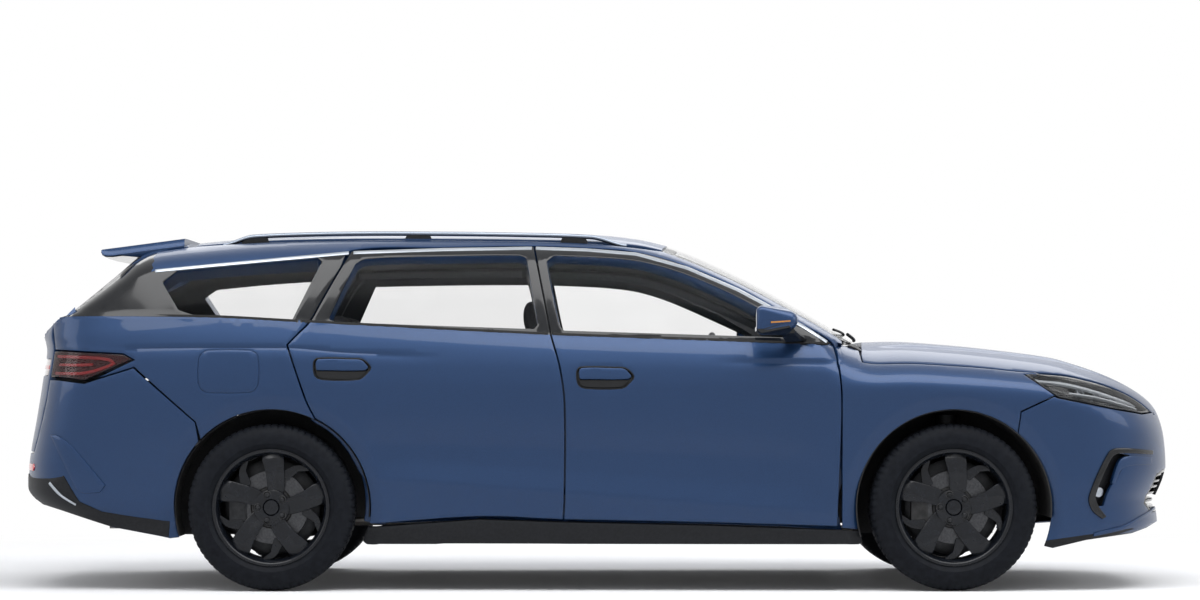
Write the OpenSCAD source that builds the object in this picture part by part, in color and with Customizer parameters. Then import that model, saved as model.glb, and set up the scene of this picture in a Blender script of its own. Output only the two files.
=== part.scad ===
// Station wagon: an assembly of body panels, glass, running gear and cabin pieces.
// Frame: +X forward, +Y to the car's left, +Z up, z = 0 at the ground, x = 0 midway along the car.
// The body skin is worked out by functions. Its tables are for a car of the reference sizes below,
// and sx(), sy() and sz() stretch them to the driving dimensions.

/* [Body] */
// Overall length of the body
body_length = 4840; // [3900:10:5900]
// Overall width of the body without the mirrors
body_width = 1875; // [1560:5:2260]
// Height of the roof rails above the ground
body_height = 1505; // [1300:5:1810]
// Thickness of the doors and side walls below the glass
door_thickness = 80; // [55:1:100]
// Thickness of the pillars, window frames and cant rails
frame_thickness = 44; // [36:1:54]
// Thickness of the wings, bumpers and bonnet
panel_thickness = 22; // [16:1:27]
// Thickness of the roof
roof_thickness = 30; // [24:1:36]
// Thickness of the tailgate
tailgate_thickness = 50; // [40:1:60]
// Thickness of the glass
glass_thickness = 6; // [4:0.5:8]
// Width of the shut lines between the panels
shut_gap = 6; // [5:0.5:7.5]
// Gap between a fixed pane or lamp and its frame
seat_gap = 0.4; // [0.3:0.05:0.5]

/* [Wheels] */
// Distance between the front and rear axles
wheelbase = 2790; // [2650:10:2900]
// Distance between the middles of the left and right tyres
track = 1620; // [1580:5:1640]
// Outside diameter of the tyres
tyre_diameter = 682; // [570:2:720]
// Width of the tyres
tyre_width = 225; // [185:5:245]
// Diameter of the rim where the tyre seats
rim_diameter = 457; // [406:1:483]
// Diameter of the brake discs
disc_diameter = 300; // [260:5:330]
// Radius of the wheel arch openings beyond the tyre
arch_clearance = 60; // [50:1:80]
// Radius of the wheel spindles
spindle_radius = 30; // [26:1:36]
// Running gap around spindles and steering pins
running_gap = 0.3; // [0.2:0.05:0.5]

/* [Cabin] */
// Width of each front seat
seat_width = 510; // [430:5:540]
// Diameter of the steering wheel
steering_wheel_diameter = 370; // [320:5:400]

/* [Hidden] */

// Reference sizes of the tables
ref_length = 4840;
ref_width = 1875;
ref_height = 1505;
ref_axle_front = 1445;
ref_axle_rear = -1345;
axle_mid = (ref_axle_front + ref_axle_rear) / 2 * body_length / ref_length;
axle_front = axle_mid + wheelbase / 2;
axle_rear = axle_mid - wheelbase / 2;
// The tables' stations keep their places between the axles and on the overhangs
function sx(x) =
    x > ref_axle_front ?
        axle_front + (x - ref_axle_front) * (body_length / 2 - axle_front) / (ref_length / 2 - ref_axle_front) :
    x < ref_axle_rear ?
        axle_rear + (x - ref_axle_rear) * (body_length / 2 + axle_rear) / (ref_length / 2 + ref_axle_rear) :
        axle_rear + (x - ref_axle_rear) * wheelbase / (ref_axle_front - ref_axle_rear);
function sy(y) = y * body_width / ref_width;
function sz(z) = z * body_height / ref_height;
wheel_y = track / 2;
tyre_radius = tyre_diameter / 2;
arch_radius = tyre_radius + arch_clearance;
blue = "#3f6290";
black = "#16181b";

// ---------- curves ----------
// Smooth curve through [[x, y], ...]
function slope(p, i) =
    i == 0 ? (p[1][1] - p[0][1]) / (p[1][0] - p[0][0]) :
    i == len(p) - 1 ? (p[i][1] - p[i - 1][1]) / (p[i][0] - p[i - 1][0]) :
    let (a = (p[i][1] - p[i - 1][1]) / (p[i][0] - p[i - 1][0]),
         b = (p[i + 1][1] - p[i][1]) / (p[i + 1][0] - p[i][0]))
    a * b <= 0 ? 0 : 2 * a * b / (a + b);
function segment(x, p, i = 0) = i >= len(p) - 2 || x < p[i + 1][0] ? i : segment(x, p, i + 1);
function curve(x, p) =
    x <= p[0][0] ? p[0][1] :
    x >= p[len(p) - 1][0] ? p[len(p) - 1][1] :
    let (i = segment(x, p), h = p[i + 1][0] - p[i][0], t = (x - p[i][0]) / h)
    (2 * t * t * t - 3 * t * t + 1) * p[i][1] + (t * t * t - 2 * t * t + t) * h * slope(p, i)
    + (3 * t * t - 2 * t * t * t) * p[i + 1][1] + (t * t * t - t * t) * h * slope(p, i + 1);
function ramp(a, b, x) = let (t = min(1, max(0, (x - a) / (b - a)))) t * t * (3 - 2 * t);

// ---------- body skin, in reference sizes ----------
nose_x = 2420;
tail_x = -2420;
// Height of the belt line, with the tail's lip behind it and the bonnet's middle in front of it
deck_height = [[-2420, 1030], [-2364, 1066], [-2270, 1124], [-2090, 1124], [-1641, 1120], [-1231, 1100],
    [-165, 1046], [409, 1026], [950, 1009], [1060, 1020], [1248, 1026], [1465, 1013], [1682, 991],
    [1899, 961], [2007, 931], [2115, 896], [2224, 853], [2332, 792], [2390, 735], [2420, 660]];
// Height of the roof, screen and rear window in the middle of the car
roof_height = [[-2300, 1100], [-2252, 1140], [-2140, 1236], [-2016, 1342], [-1950, 1395], [-1880, 1422],
    [-1700, 1445], [-1300, 1478], [-900, 1491], [-500, 1494], [-200, 1491], [0, 1482], [163, 1464],
    [271, 1440], [378, 1405], [486, 1359], [593, 1308], [701, 1252], [808, 1192], [916, 1130],
    [1023, 1063], [1130, 996]];
// Half width at the shoulder
half_width = [[-2420, 830], [-2200, 876], [-2000, 902], [-1700, 926], [-1345, 937], [-900, 932], [-300, 927],
    [300, 927], [900, 931], [1445, 937], [1800, 922], [2000, 896], [2200, 850], [2420, 770]];
// How far the side lies inside the shoulder, by height: plain, and with the doors' crease and hollow
side_plain = [[140, 75], [180, 52], [280, 34], [394, 25], [500, 17], [650, 6], [760, 1], [830, 0],
    [900, 9], [970, 31], [1040, 66]];
side_creased_low = [[140, 75], [180, 52], [280, 34], [394, 12]];
side_creased_high = [[394, 12], [440, 21], [500, 29], [560, 29], [650, 14], [760, 2], [830, 0],
    [900, 9], [970, 31], [1040, 66]];
crease_slope = 0.0767;
// Nose and tail in side view: how far forward or back of the ends the skin lies, by height
nose_profile = [[140, -250], [200, -110], [262, -36], [300, -40], [360, -44], [430, -16], [500, 0],
    [620, -4], [700, -10]];
tail_profile = [[140, 330], [220, 262], [290, 150], [350, 46], [410, 0], [490, 0], [560, 8], [700, 34], [880, 62],
    [990, 74], [1050, 58], [1130, 60]];

function belt(x) = curve(min(x, 950), deck_height);
function crease_mix(x) = ramp(-1150, -700, x) * (1 - ramp(650, 1050, x));
// Height on the reference section at x = 0
function section_z(x, z) =
    let (c = z + crease_slope * x * (1 - ramp(420, 760, z)))
    z <= 830 ? c : 830 + (z - 830) * (1040 - 830) / (max(belt(x), 1000) - 830);
function side_depth(x, z) =
    let (s = section_z(x, z), m = crease_mix(x), a = curve(s, side_plain))
    a + m * ((s < 394 ? curve(s, side_creased_low) : curve(s, side_creased_high)) - a);
// Rounding of the nose and tail corners in plan
function corner(x) =
    x > 1750 ? pow(1 - pow(min(0.9995, (x - 1750) / (nose_x - 1750)), 4.2), 0.4) :
    x < -1950 ? pow(1 - pow(min(0.9995, (x + 1950) / (tail_x + 1950)), 5), 0.34) : 1;
// Rounding of the bonnet's sides over the wings
function bonnet_round(x, z) =
    let (t = curve(x, deck_height), u = min(1, max(0, (z - t + 235) / 235)))
    1 + ramp(900, 1160, x) * (pow(max(0, 1 - pow(u, 2.6)), 1 / 3) - 1);
// Step from the wing's flare down to the edge of the arch
function arch_lip(x, z) =
    let (r = min(norm([x - ref_axle_front, z - 341]), norm([x - ref_axle_rear, z - 341])))
    18 * (1 - ramp(398, 462, r)) + 5 * (1 - ramp(462, 640, r));
function lower_y(x, z) =
    (curve(x, half_width) - side_depth(x, z)) * corner(x) * bonnet_round(x, z) - arch_lip(x, z) + 5;
// Half width of the cabin above the belt
roof_round = 9;
function cabin_y(x, z) =
    let (b = belt(x), h = max(0, z - b), k = b - 60, t = curve(x, roof_height),
         u = min(1, max(0, (z - k) / max(20, t - k))))
    (lower_y(x, min(b, curve(x, deck_height) - 60 * ramp(850, 1000, x))) - 1 - 0.35 * h - 0.0002 * h * h) * pow(max(0, 1 - pow(u, roof_round)), 1 / 3);

// Skin points, offset inwards by o
function lower_point(x, z, o) =
    let (n = curve(z, nose_profile) * pow(ramp(1500, nose_x, x), 1.5),
         t = curve(z, tail_profile) * pow(ramp(-1650, tail_x, x), 1.2),
         e = o * (ramp(2250, 2400, x) - ramp(-2250, -2400, x)))
    [sx(x + n + t) - e, max(2, sy(lower_y(x, z)) - o), sz(z)];
function cabin_point(x, z, o) =
    let (y = cabin_y(x, z), s = -0.00011 * y * y * ramp(-100, 600, x) + 0.0001 * y * y * ramp(-1700, -2100, x))
    [sx(x + s), max(2, sy(y) - o), sz(z)];

// ---------- solids from the skin ----------
// Closed half solid from a grid of rows of points on y > 0
module half_solid(grid) {
    n = len(grid);
    m = len(grid[0]);
    flat = [for (row = grid) each [for (p = row) [p[0], -1, p[2]]]];
    polyhedron(
        points = concat([for (row = grid) each row], flat),
        faces = [
            for (i = [0 : n - 2], j = [0 : m - 2]) let (a = i * m + j, b = n * m)
                each [[a, a + m, a + 1], [a + 1, a + m, a + m + 1],
                      [b + a, b + a + 1, b + a + m], [b + a + 1, b + a + m + 1, b + a + m]],
            for (i = [0 : n - 2]) let (a = i * m, b = n * m, c = a + m - 1)
                each [[a, b + a, a + m], [b + a, b + a + m, a + m],
                      [c, c + m, b + c], [b + c, c + m, b + c + m]],
            for (j = [0 : m - 2]) let (a = j, b = n * m, c = (n - 1) * m + j)
                each [[a, a + 1, b + a], [a + 1, b + a + 1, b + a],
                      [c, b + c, c + 1], [c + 1, b + c, b + c + 1]]
        ]);
}
module both_sides() {
    children();
    mirror([0, 1, 0]) children();
}
module left_side(on = true) {
    if (on) children();
    else mirror([0, 1, 0]) children();
}
// A panel cut from the faceted skin is one mesh
module panel() resize([0, 0, 0]) children();

body_floor = 150;
// Stations along the skin; the coarse ones are for its inner faces
function lower_stations(n, m, step) = concat([for (i = [n : -1 : 0]) -1950 - 470 * (1 - pow(1 - i / n, 1.9))],
    [for (x = [-1950 + step : step : 1750 - step / 2]) x], [for (i = [0 : m]) 1750 + 670 * (1 - pow(1 - i / m, 1.9))]);
module lower_half(o, top = 0, coarse = false) {
    n = coarse ? 9 : 14;
    half_solid([for (x = coarse ? lower_stations(4, 4, 370) : lower_stations(7, 8, 148))
        let (t = curve(x, deck_height) - top / sz(1), f = body_floor - (o > 0 ? 20 : 0))
        [for (j = [0 : n]) let (s = j / n) lower_point(x, f + (t - f) * (0.999 - 0.999 * pow(1 - s, 1.35)), o)]]);
}
function cabin_stations(a, b, c) = concat([for (x = [-2290 : a : -1800]) x], [for (x = [-1800 + b : b : 100]) x],
    [for (x = [180 : c : 1130]) x], [1130]);
module cabin_half(o, top = 0, coarse = false) {
    n = coarse ? 7 : 10;
    half_solid([for (x = coarse ? cabin_stations(98, 380, 190) : cabin_stations(70, 190, 95))
        let (t = curve(x, roof_height) - top / sz(1), f = min(belt(x), t) - 220)
        [for (j = [0 : n]) let (s = j / n) cabin_point(x, f + (t - f) * (0.9995 - 0.9995 * pow(1 - s, 1.8)), o)]]);
}
// The same skin moved straight in and down, for panes and thin panels
module lower_sunk(d) translate([0, -d, -d]) lower_half(0);
module cabin_sunk(d) translate([0, -d, -d]) cabin_half(0);
module skin() {
    lower_half(0);
    cabin_half(0);
}
// Everything deeper than a below the belt and b above it
module inside(a, b) {
    lower_half(a, a, true);
    cabin_half(b, b, true);
}

// ---------- cutters ----------
function ring_normal(a) =
    let (n = len(a), c = [for (i = [0 : n - 1]) cross(a[i] - a[0], a[(i + 1) % n] - a[0])])
    [for (k = [0 : 2]) [for (v = c) v[k]] * [for (v = c) 1]];
// Solid between two rings of as many points
module between(a, b) {
    n = len(a);
    up = ring_normal(a) * (b[0] - a[0]) > 0;
    p = up ? concat(a, b) : concat(b, a);
    polyhedron(points = p, faces = concat(
        [[for (i = [0 : n - 1]) i]], [[for (i = [n - 1 : -1 : 0]) n + i]],
        [for (i = [0 : n - 1]) let (j = (i + 1) % n) each [[i, n + i, n + j], [i, n + j, j]]]), convexity = 6);
}
// Outline moved outwards by d all round
function turn(a, b) = a[0] * b[1] - a[1] * b[0];
function outline_area(p) =
    let (n = len(p), c = [for (i = [0 : n - 1]) turn(p[i], p[(i + 1) % n])]) c * [for (v = c) 0.5];
function grow(p, d) =
    let (n = len(p), s = outline_area(p) > 0 ? 1 : -1)
    [for (i = [0 : n - 1])
        let (a = p[(i + n - 1) % n], b = p[i], c = p[(i + 1) % n],
             e = (b - a) / norm(b - a), f = (c - b) / norm(c - b),
             m = [e[1] + f[1], -e[0] - f[0]], k = 1 + e * f)
        b + s * d * m / max(0.35, k)];
// Prisms through an outline seen from the side, from above and from the end
module side_prism(p, y0 = 0, y1 = 1300)
    translate([0, y1, 0]) rotate([90, 0, 0]) linear_extrude(y1 - y0) polygon(p);
module plan_prism(p, z0 = 0, z1 = 2000)
    translate([0, 0, z0]) linear_extrude(z1 - z0) polygon(p);
module end_prism(p, x0, x1)
    translate([x0, 0, 0]) rotate([90, 0, 90]) linear_extrude(x1 - x0) polygon(p);
function ref(p) = [for (q = p) [sx(q[0]), sz(q[1])]];
function plan_ref(p) = [for (q = p) [sx(q[0]), sy(q[1])]];
function end_ref(p) = [for (q = p) [sy(q[0]), sz(q[1])]];
module arches(r, y0, y1) {
    for (x = [axle_front, axle_rear])
        translate([x, y1, tyre_radius]) rotate([90, 0, 0]) cylinder(r = r, h = y1 - y0, $fn = 72);
}

// ---------- outlines, in reference sizes ----------
door_split = [[-275, 1419], [-258, 1330], [-236, 1220], [-219, 1133], [-202, 1046], [-165, 911], [-146, 764], [-146, 388], [-151, 290]];
front_door_outline = concat([[985, 805], [985, 659], [970, 262], [407, 279]],
    [for (i = [8 : -1 : 0]) door_split[i]],
    [[151, 1394], [362, 1335], [573, 1243], [687, 1180], [830, 1092], [958, 1009], [975, 919]]);
rear_door_outline = concat(door_split,
    [[-497, 302], [-953, 268], [-1000, 480], [-1082, 620], [-1163, 703], [-1199, 774], [-1280, 1005],
     [-1236, 1052], [-1191, 1100], [-1150, 1176], [-1110, 1251], [-1070, 1326], [-1031, 1398], [-650, 1412]]);
front_window_outline = [[-222, 1352], [-172, 1100], [-150, 1066], [812, 1036], [700, 1128], [500, 1238], [300, 1318],
    [120, 1360], [-190, 1378]];
rear_window_outline = [[-1112, 1112], [-1084, 1102], [-272, 1072], [-256, 1092], [-306, 1366], [-334, 1378],
    [-650, 1374], [-970, 1362], [-1010, 1340]];
quarter_window_outline = [[-1262, 1110], [-1150, 1352], [-1170, 1368], [-1500, 1342], [-1740, 1314], [-1800, 1262],
    [-1730, 1150], [-1660, 1130]];
sill_outline = [[-944, 258], [-497, 292], [-149, 280], [407, 268], [1060, 246], [1060, 190], [-960, 190]];
wing_rear = [[985, 805], [985, 659], [970, 262]];
bumper_split_front = [[1719, 732], [1855, 796], [1869, 789]];
headlamp_outline = [[1736, 889], [1790, 910], [1939, 900], [2096, 868], [2217, 815], [2322, 760], [2330, 726], [2248, 722],
    [2100, 745], [1871, 789]];
tail_lamp_outline = [[-2420, 975], [-2235, 984], [-1954, 968], [-1909, 946], [-2112, 858], [-2231, 880], [-2420, 870]];
front_bumper_outline = [[1640, 150], [1719, 732], [1855, 796], [1871, 789], [2100, 745], [2248, 722], [2322, 728],
    [2300, 800], [2500, 800], [2500, 120]];
front_lower_edge = [[1640, 100], [1640, 236], [1780, 190], [1850, 172], [1988, 203], [2202, 224], [2307, 262], [2500, 300],
    [2500, 100]];
rear_bumper_outline = [[-1600, 150], [-1652, 690], [-1908, 912], [-2112, 848], [-2231, 866], [-2262, 640], [-2500, 640],
    [-2500, 120]];
rear_lower_edge = [[-1500, 100], [-1500, 220], [-1770, 213], [-2005, 255], [-2216, 319], [-2500, 380], [-2500, 100]];
bonnet_line = [[1118, 0], [1112, 250], [1095, 480], [1084, 650], [1076, 760], [1076, 832], [1238, 832], [1400, 832],
    [1549, 828], [1716, 822], [1830, 802], [1928, 770], [2010, 736], [2088, 700], [2157, 665], [2220, 624], [2278, 570],
    [2311, 522], [2335, 462], [2352, 300], [2362, 0]];
roof_line = [[292, 0], [284, 300], [260, 560], [-300, 584], [-900, 588], [-1690, 562], [-1690, 0]];
screen_line = [[1090, 0], [1080, 250], [1058, 480], [1022, 640], [975, 712], [930, 706], [700, 650], [540, 612],
    [260, 560], [284, 300], [292, 0]];
// Half width of the tailgate by distance from its hinge line
tailgate_line = [[0, 556], [120, 568], [266, 590], [398, 630], [652, 698], [747, 722], [797, 735], [882, 738],
    [1026, 702], [1131, 640], [1180, 600]];
hinge_x = -1693;
hinge_z = 1452;

// ---------- body ----------
rebate = 5;
flange = 44;
module cut_below(z = 190) translate([-3500, -1300, -200]) cube([7000, 2600, sz(z) + 200]);

module door_space(outline, depth) {
    difference() {
        // with more room under the door, where its slanting edge swings over the sill
        for (drop = [0, 3])
            translate([0, 0, -drop]) side_prism(grow(ref(outline), shut_gap / 2));
        inside(door_thickness + depth, frame_thickness + depth);
    }
}
// Its edges are surfaces of revolution about the hinge line, so they keep their gap as it opens
module tailgate_space(d) {
    p = [for (q = tailgate_line) [q[0] * sz(1), sy(q[1]) + d]];
    intersection() {
        translate([sx(hinge_x), 0, sz(hinge_z)]) rotate([-90, 0, 0]) rotate_extrude($fn = 180)
            polygon(concat(p, [[1180 * sz(1), 0], [0, 0]]));
        box(-4000, sx(-1690) - shut_gap / 2 + d / 2, -1300, 1300, sz(560) - d, 2000);
    }
}
function both(p) = let (n = len(p)) concat(p, [for (i = [n - 2 : -1 : 1]) [p[i][0], -p[i][1]]]);
function bonnet_ring(z, d) =
    [for (q = grow(plan_ref(both(bonnet_line)), d)) [q[0] + (z - sz(800)) * 0.2 * ramp(1300, 2300, q[0]), q[1], z]];
module bonnet_space(d) {
    between(bonnet_ring(sz(560), d), bonnet_ring(sz(1160), d));
}
flap_outline = [[-1640, 848], [-1628, 822], [-1602, 810], [-1432, 810], [-1406, 822], [-1394, 848], [-1394, 946],
    [-1406, 972], [-1432, 984], [-1602, 984], [-1628, 972], [-1640, 946]];
module box(x0, x1, y0, y1, z0, z1) translate([x0, y0, z0]) cube([x1 - x0, y1 - y0, z1 - z0]);
// Rubber stops that the closed doors rest on
module door_stop(x0, x1, z0, z1) {
    intersection() {
        box(sx(x0), sx(x1), sy(500), 1200, sz(z0), sz(z1));
        difference() {
            inside(door_thickness + 0.3, frame_thickness + 0.3);
            inside(door_thickness + rebate + 8, frame_thickness + rebate + 8);
        }
    }
}
module half_bodyside() {
    difference() {
        intersection() {
            skin();
            side_prism(ref([[991, 860], [991, 659], [976, 262], [976, 190], [-2500, 190], [-2500, 1180], [-1690, 1900],
                [300, 1900], [1120, 990]]), sy(20));
        }
        inside(door_thickness + flange, frame_thickness + flange - 8);
        door_space(front_door_outline, rebate);
        door_space(rear_door_outline, rebate);
        side_prism(grow(ref(front_door_outline), -flange + 6));
        side_prism(ref([[820, 925], [965, 925], [950, 1006], [828, 1088], [780, 1080]]), sy(400));
        side_prism(grow(ref(rear_door_outline), -flange + 6));
        arches(arch_radius, sy(500), 1300);
        side_prism(ref([[984, 862], [984, 659], [969, 258], [1005, 258], [1005, 862]]), sy(855));
        difference() {
            side_prism(grow(ref(sill_outline), 0.4));
            lower_half(14.4);
        }
        side_prism(grow(ref(rear_bumper_outline), 0.4));
        side_prism(grow(ref(tail_lamp_outline), seat_gap));
        tailgate_space(shut_gap);
        plan_prism(grow(plan_ref(both(roof_line)), seat_gap), 1100);
        plan_prism(plan_ref(both(screen_line)), 900);
        plan_prism(grow(plan_ref(both(cowl_line)), seat_gap), 700, sz(1040));
        intersection() {
            lower_sunk(-seat_gap);
            box(sx(991), 3500, -10, 1300, 0, 3000);
        }
        box(sx(985) - seat_gap, 3500, -10, sy(floor_y) + seat_gap, 0, sz(955) + seat_gap);
        box(sx(-2254) - seat_gap, sx(985), -10, sy(floor_y) + seat_gap, 0, sz(588) + seat_gap);
        box(sx(640), sx(985), -10, sy(708) + seat_gap, 0, sz(965) + seat_gap);
        side_prism(grow(ref(quarter_window_outline), seat_gap), sy(450));
        box(-3500, 3500, -10, sy(400), 0, 3000);
        box(sx(1030), 3500, -10, 1300, 0, 3000);
    }
    door_stop(-142, -114, 520, 640);
    door_stop(-1236, -1206, 860, 920);
    // seams to the floor
    box(sx(-540), sx(960), sy(floor_y) + seat_gap, sy(800), floor_z, floor_z + floor_thickness);
    box(sx(-2100), sx(-1820), sy(floor_y) + seat_gap, sy(840), sz(560), sz(588));
}
floor_y = 744;
floor_z = 235;
floor_thickness = 27;
flap_thickness = 12;
flap_pocket = 46;
module body_sides() color(blue) panel() {
    difference() {
        both_sides() half_bodyside();
        mirror([0, 1, 0]) difference() {
            side_prism(grow(ref(flap_outline), shut_gap));
            lower_half(flap_pocket);
        }
    }
    // catch for the charging flap
    mirror([0, 1, 0]) intersection() {
        difference() {
            lower_half(flap_thickness + 0.3);
            lower_half(flap_pocket + 2);
        }
        box(sx(-1620), sx(-1590), 500, 1200, sz(880), sz(914));
    }
}
module roof() color(blue) panel() intersection() {
    both_sides() difference() {
        cabin_half(0);
        cabin_half(roof_thickness, roof_thickness);
    }
    plan_prism(plan_ref(both(roof_line)), 1100);
}
// A rail on each side of the roof
module roof_rails() color(black) panel() both_sides() difference() {
    half_solid([for (x = [-1560 : 90 : 60])
        let (t = curve(x, roof_height) + 11 - 40 * (1 - ramp(-1560, -1440, x)) - 40 * ramp(-60, 60, x))
        [for (j = [0 : 6]) [sx(x), sy(580 - 8 * ramp(-600, -1560, x)) - 26 * pow(j / 6, 2), sz(t - 95 + 95 * sqrt(j / 6))]]]);
    box(-3000, 3000, -10, sy(546), 0, 3000);
    cabin_sunk(-0.3);
}
module front_wings() color(blue) panel() both_sides() difference() {
    union() {
        difference() {
            intersection() {
                lower_half(0);
                side_prism(ref([[1000, 1100], [1000, 805], [1000, 659], [985, 258], [1640, 258], [1719, 732], [1855, 796],
                    [2500, 796], [2500, 1100]]));
            }
            lower_half(panel_thickness, panel_thickness);
            bonnet_space(shut_gap);
        }
        // shelves to the inner rails
        intersection() {
            lower_half(8, 8);
            box(sx(1010), sx(1080), sy(705), 1300, sz(824), sz(842));
        }
        intersection() {
            lower_half(8, 8);
            box(sx(1600), sx(1660), sy(705), 1300, sz(780), sz(798));
        }
    }
    cabin_half(seat_gap, -seat_gap);
    side_prism(grow(ref(headlamp_outline), seat_gap));
    side_prism(grow(ref(front_door_outline), shut_gap));
    side_prism(grow(ref(sill_outline), 0.4));
    arches(arch_radius, sy(500), 1300);
    plan_prism(plan_ref([[900, -10], [900, 700], [1200, 700], [1200, -10]]));
    box(sx(2180), 3000, -10, 1300, 0, 3000);
}
module front_bumper() color(blue) panel() difference() {
    both_sides() difference() {
        union() {
            difference() {
                intersection() {
                    lower_half(0);
                    side_prism(ref(front_bumper_outline));
                }
                lower_half(panel_thickness + 6, panel_thickness + 6);
            }
            intersection() {
                lower_half(8, 8);
                box(sx(2250), 3000, sy(430), sy(510), sz(490), sz(590));
            }
            intersection() {
                lower_half(8, 8);
                box(sx(1700), sx(1760), sy(705), 1300, sz(600), sz(660));
            }
        }
        side_prism(ref(front_lower_edge));
        side_prism(grow(ref(front_bumper_outline), 0), -5, -4);
        side_prism(grow(ref(headlamp_outline), seat_gap));
        arches(arch_radius, sy(500), 1300);
        box(0, sx(1640), -10, 1300, 0, 3000);
        side_prism(ref([[1600, 100], [1640, 736], [1719, 736], [1640, 150]]));
    }
    bonnet_space(shut_gap);
    end_prism(grow(end_ref(grille_line), seat_gap), sx(2000), 3000);
}
grille_line = [[-560, 262], [-640, 330], [-600, 470], [-500, 486], [500, 486], [600, 470], [640, 330], [560, 262]];
module grille() color(black) panel() difference() {
    intersection() {
        both_sides() difference() {
            lower_half(10, 0);
            lower_half(30, 0);
        }
        end_prism(end_ref(grille_line), sx(2000), 3000);
    }
}
module rear_bumper() color(blue) panel() {
    both_sides() difference() {
        union() {
            difference() {
                intersection() {
                    lower_half(0);
                    side_prism(ref(rear_bumper_outline));
                }
                lower_half(panel_thickness + 6, panel_thickness + 6);
            }
            intersection() {
                lower_half(8, 8);
                box(-3000, sx(-2270), sy(430), sy(510), sz(490), sz(560));
            }
        }
        side_prism(ref(rear_lower_edge));
        side_prism(grow(ref(tail_lamp_outline), seat_gap));
        arches(arch_radius, sy(500), 1300);
        tailgate_space(shut_gap);
    }
    // buffers under the tailgate
    both_sides() intersection() {
        inside(tailgate_thickness + 0.3, tailgate_thickness + 0.3);
        box(-3000, sx(-2280), sy(430), sy(500), sz(530), sz(606));
    }
}
module headlamps() color("#c9d4dc") panel() both_sides() difference() {
    intersection() {
        lower_half(1.5, 1.5);
        side_prism(ref(headlamp_outline), sy(560));
    }
    lower_half(90, 90);
    bonnet_space(shut_gap);
}
module tail_lamps() color("#8d1620") panel() both_sides() difference() {
    intersection() {
        lower_half(1.5, 1.5);
        side_prism(ref(tail_lamp_outline), sy(500));
    }
    lower_half(90, 90);
    tailgate_space(shut_gap);
}
module windscreen() color("#20262b") panel() intersection() {
    both_sides() difference() {
        cabin_sunk(1);
        cabin_sunk(1 + glass_thickness);
    }
    plan_prism(grow(plan_ref(both(screen_line)), -seat_gap), sz(1030));
}
module cowl() color(black) panel() difference() {
    both_sides() difference() {
        cabin_sunk(1);
        cabin_sunk(17);
    }
    difference() {
        box(-3500, 3500, -1300, 1300, 0, 3000);
        plan_prism(plan_ref(both(cowl_line)), sz(980), sz(1030) - seat_gap);
    }
    difference() {
        bonnet_space(shut_gap);
        both_sides() lower_sunk(panel_thickness + 0.3);
    }
}
cowl_line = [[1150, 0], [1150, 500], [1100, 660], [960, 660], [960, 0]];
module quarter_windows() color("#14181b") panel() both_sides() intersection() {
    difference() {
        cabin_sunk(1.5);
        cabin_sunk(1.5 + glass_thickness);
    }
    side_prism(ref(quarter_window_outline), sy(450));
}
module sill_covers() color(black) panel() both_sides() difference() {
    intersection() {
        lower_half(0);
        side_prism(ref(sill_outline));
    }
    lower_half(14);
    arches(arch_radius, sy(500), 1300);
}
// ---------- doors ----------
// Door outline whose rear edge slants forward inboard, so that the door swings clear
function skin_y(x, z) = z > belt(x) ? cabin_y(x, z) : lower_y(x, z);
function door_ring(outline, lean, y) =
    let (p = grow(ref(outline), -shut_gap / 2), n = len(p))
    [for (i = [0 : n - 1]) let (q = outline[i])
        [p[i][0] + lean[i] * (sy(skin_y(q[0], min(q[1], 1395))) - y), y, p[i][1]]];
front_door_lean = [0, 0, 0, 0, 0.1, 0.1, 0.1, 0.1, 0.12, 0.15, 0.18, 0.21, 0.23, 0, 0, 0, 0, 0, 0, 0];
rear_door_lean = [0, 0, 0, 0, 0, 0, 0, 0, 0, 0, 0.1, 0.1, 0.1, 0.1, 0.12, 0.14, 0.18, 0.22, 0.26, 0.29, 0.31, 0.32, 0];
module half_door(outline, lean, window) {
    difference() {
        intersection() {
            skin();
            between(door_ring(outline, lean, sy(1000)), door_ring(outline, lean, sy(400)));
        }
        inside(door_thickness, frame_thickness);
        arches(arch_radius + shut_gap, sy(500), 1300);
        side_prism(grow(ref(window), seat_gap), sy(400));
    }
}
module half_window(window) {
    intersection() {
        difference() {
            cabin_sunk(3);
            cabin_sunk(3 + glass_thickness);
        }
        side_prism(ref(window), sy(400));
    }
}
module front_door(left) color(blue) panel() left_side(left)
    half_door(front_door_outline, front_door_lean, front_window_outline);
module rear_door(left) color(blue) panel() left_side(left)
    half_door(rear_door_outline, rear_door_lean, rear_window_outline);
module front_door_left() front_door(true);
module front_door_right() front_door(false);
module rear_door_left() rear_door(true);
module rear_door_right() rear_door(false);
module front_window(left) color("#20262b") panel() left_side(left) half_window(front_window_outline);
module rear_window(left) color("#14181b") panel() left_side(left) half_window(rear_window_outline);
module front_window_left() front_window(true);
module front_window_right() front_window(false);
module rear_window_left() rear_window(true);
module rear_window_right() rear_window(false);
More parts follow.
